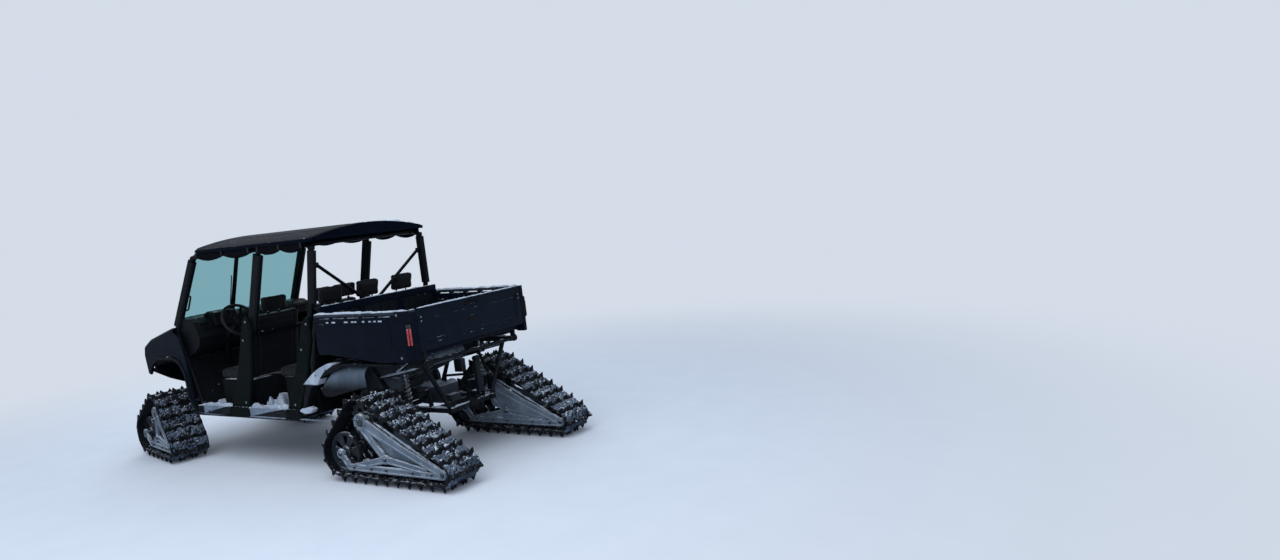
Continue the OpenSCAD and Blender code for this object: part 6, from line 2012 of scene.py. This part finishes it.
def coil(low, high, radius, wire_radius, turns):
    """A coil spring from low to high."""
    low, high = Vector(low), Vector(high)
    along = (high - low).normalized()
    side = along.cross(Vector((1, 0, 0))).normalized()
    up = along.cross(side)
    count = int(turns * 18)
    path = []
    for k in range(count + 1):
        t = k / count
        angle = 2 * pi * turns * t
        path.append(low.lerp(high, t) + (side * cos(angle) + up * sin(angle)) * radius)
    return tube(path, wire_radius, 8)


def build_shocks():
    for name, node, p, q in (("front", "front_shocks", (3093, 430, 410.3), (3093, 300, 870.7)),
                             ("rear", "rear_shocks", (-118, 450, 482.3), (-118, 484.7, 954))):
        shocks = Piece(name + "_coil_shocks")
        low, high = Vector(p), Vector(q)
        along = (high - low).normalized()
        long = (high - low).length
        for eye in (p, q):
            shocks.pair(lathe([(6, -14), (12, -14), (13, -12), (13, 12), (12, 14), (6, 14)], eye, "x", 20,
                              closed=True), bare_steel())
            shocks.pair(rod(6, 17, eye, "x", 12), chassis_paint())
        body = [(0, 0.04), (17, 0.05), (20, 0.08), (20, 0.54), (17, 0.56), (0, 0.56)]
        shocks.pair(lathe([(r, h * long) for r, h in body], p, along, 24), spring_paint())
        shocks.pair(lathe([(0, 0.5 * long), (8.8, 0.5 * long), (8.8, 0.97 * long), (0, 0.97 * long)], p,
                          along, 16), bare_steel())
        for k in (0.265, 0.885):
            cup = [(12, k * long - 6), (33, k * long - 6), (34.5, k * long), (33, k * long + 6),
                   (12, k * long + 6)]
            shocks.pair(lathe(cup, p, along, 26, closed=True), chassis_paint())
        shocks.pair(coil(low + along * long * 0.28, low + along * long * 0.875, 26.5, 6.0, 7.5),
                    spring_steel())
        shocks.done(node, slot="shock_paint")


def spring_steel():
    return finish("painted spring", "31383f", "4c555e", 0.4, film=(0.4, 1.0, "5a656f"),
                  snow=(0.55, 0.1, 20.0), specular=0.4)


def build_muffler():
    muffler = Piece("muffler_can")
    steel = muffler_steel()
    x, z = -352, 960
    body = [(0, 8), (30, 8), (46, 10), (58, 17), (65, 26), (66, 30)]
    for h in (62, 170, 350, 428):
        body += [(66, h - 8), (68.5, h - 5), (68.5, h + 5), (66, h + 8)]
    body += [(66, 455), (63, 463), (52, 471), (0, 472)]
    muffler.add(lathe([(r, h) for r, h in body], (x, 0, z), "y", 48), steel)
    for h in (118, 398):
        muffler.add(lathe([(66.5, h - 9), (69.5, h - 8), (69.5, h + 8), (66.5, h + 9)], (x, 0, z), "y", 48,
                          closed=True), drive_steel())
        muffler.add(block(x - 8, x + 8, h - 9, h + 9, z + 66, z + 78, 3), drive_steel())
    pipe = bent([(-352, 60, 952), (-400, 60, 950), (-452, 60, 926)], 30)
    points, faces = tube(pipe, 22, 24, ends=False)
    inner, inner_faces = tube(pipe, 19, 24, ends=False)
    count, rows = len(points), len(pipe)
    join = [tuple(reversed(tuple(i + count for i in f))) for f in inner_faces]
    for end in (0, (rows - 1) * 24):
        join += [(end + k, end + (k + 1) % 24, end + count + (k + 1) % 24, end + count + k)
                 for k in range(24)]
    muffler.add((points + inner, faces + join), bare_steel())
    muffler.add(tube([(-352, 90, 912), (-200, 90, 848), (248, 90, 700)], 20, 18), drive_steel())
    muffler.add(block(-372, -332, 462, 497.5, 932, 958, 4), chassis_paint())
    muffler.add(hex_bolt((-352, 480, 958), (0, 0, 1), 16, 7), bare_steel())
    muffler.done("muffler", slot="cast_metal")


def build_brackets():
    """Brackets under the bed that carry the wiring and the brake lines."""
    brackets = Piece("under_bed_brackets")
    brackets.pair(tube([(118, 530, 812), (-100, 530, 846), (-346, 530, 896)], 9, 10), chassis_paint())
    brackets.pair(tube([(-60, 530, 838), (-300, 530, 972)], 8, 10), chassis_paint())
    brackets.pair(block(36, 132, 368, 432, 662, 788, 8, 3), drive_steel())
    brackets.done()


def lay_gear_snow():
    """Snow on the brackets, the frame tubes, the final drive, the tow hook and the arms."""
    snow = Piece("rear_gear_snow")
    for s in (1, -1):
        y = 531 * s
        lay_ridges(snow, ([(124, y, 817), (0, y, 838), (-100, y, 854), (-350, y, 902)], 20, 15, 20 + s,
                          -0.25),
                   ([(-70, y, 850), (-180, y, 912), (-300, y, 978)], 16, 14, 23 + s, -0.2),
                   ([(40, s * 402, 788), (130, s * 402, 788)], 30, 18, 26 + s, -0.2))
    for path, wide, high, seed in (
            ([(-395, 290, 560), (-395, 380, 700), (-395, 470, 840)], 13, 12, 1.0),
            ([(-395, -290, 560), (-395, -470, 840)], 13, 12, 4.0),
            ([(-430, 260, 493), (-100, 260, 493), (200, 260, 493)], 20, 16, 2.0),
            ([(-430, -260, 493), (200, -260, 493)], 20, 16, 6.0),
            ([(-400, -230, 491), (-400, 0, 491), (-400, 230, 491)], 16, 12, 3.0),
            ([(-440, 520, 978), (-100, 520, 978), (240, 520, 978)], 17, 11, 7.0),
            ([(-440, -520, 978), (240, -520, 978)], 17, 11, 8.0),
            ([(-140, -100, 641), (0, -40, 641), (140, 80, 641)], 70, 34, 9.0),
            ([(-110, 100, 641), (120, 60, 641)], 50, 26, 10.0),
            ([(20, 555, 640), (0, 570, 640), (-24, 560, 640)], 24, 22, 11.0),
            ([(-500, -24, 594), (-440, 0, 692)], 14, 12, 12.0),
            ([(-530, 0, 593), (-480, 0, 593), (-436, 0, 593)], 22, 14, 13.0)):
        lay_ridges(snow, (path, wide, high, seed, 0.0))
    for s in (1, -1):
        for h in (0.2, 0.6):
            y = 285 + 260 * h
            arm = [(-14 - 156 * (1 - h), s * y, 478), (-14 - 80 * (1 - h), s * (y + 40), 474)]
            lay_ridges(snow, (arm, 13, 9, 14 + h + s, 0.0))
    snow.done(sharp=60)


def coat_cad_nodes():
    """Finishes on the CAD nodes that stay as they are."""
    finishes = {
        "frame": chassis_paint, "skid_plate": bed_liner, "hitch": chassis_paint, "floor_pan": floor_liner,
        "radiator": drive_steel,
        "steering_column": chassis_paint, "engine": drive_steel, "final_drives": drive_steel,
        "half_shafts": grip_rubber,
        "front_arms": chassis_paint, "rear_arms": chassis_paint, "steering_rack": bare_steel,
        "knuckle_left": drive_steel,
        "knuckle_right": drive_steel, "strut_tube": moulded_black, "strut_rod": bare_steel}
    for node, make in finishes.items():
        for thing in [o for o in bpy.data.objects if o.name == node or o.name.startswith(node + ".")]:
            if thing.type != "MESH":
                continue
            for slot in thing.material_slots:
                slot.material = make()
            if not thing.material_slots:
                thing.data.materials.append(make())


def build_vehicle():
    set_camera()
    set_studio()
    build_tracks()
    build_bed()
    build_tailgate()
    build_tail_lamps()
    build_cab()
    build_hood()
    build_front_fenders()
    build_nose()
    build_headlamps()
    build_brush_guard()
    lay_hood_snow()
    build_rear_fenders()
    build_shocks()
    build_muffler()
    build_brackets()
    lay_gear_snow()
    coat_cad_nodes()


build_vehicle()
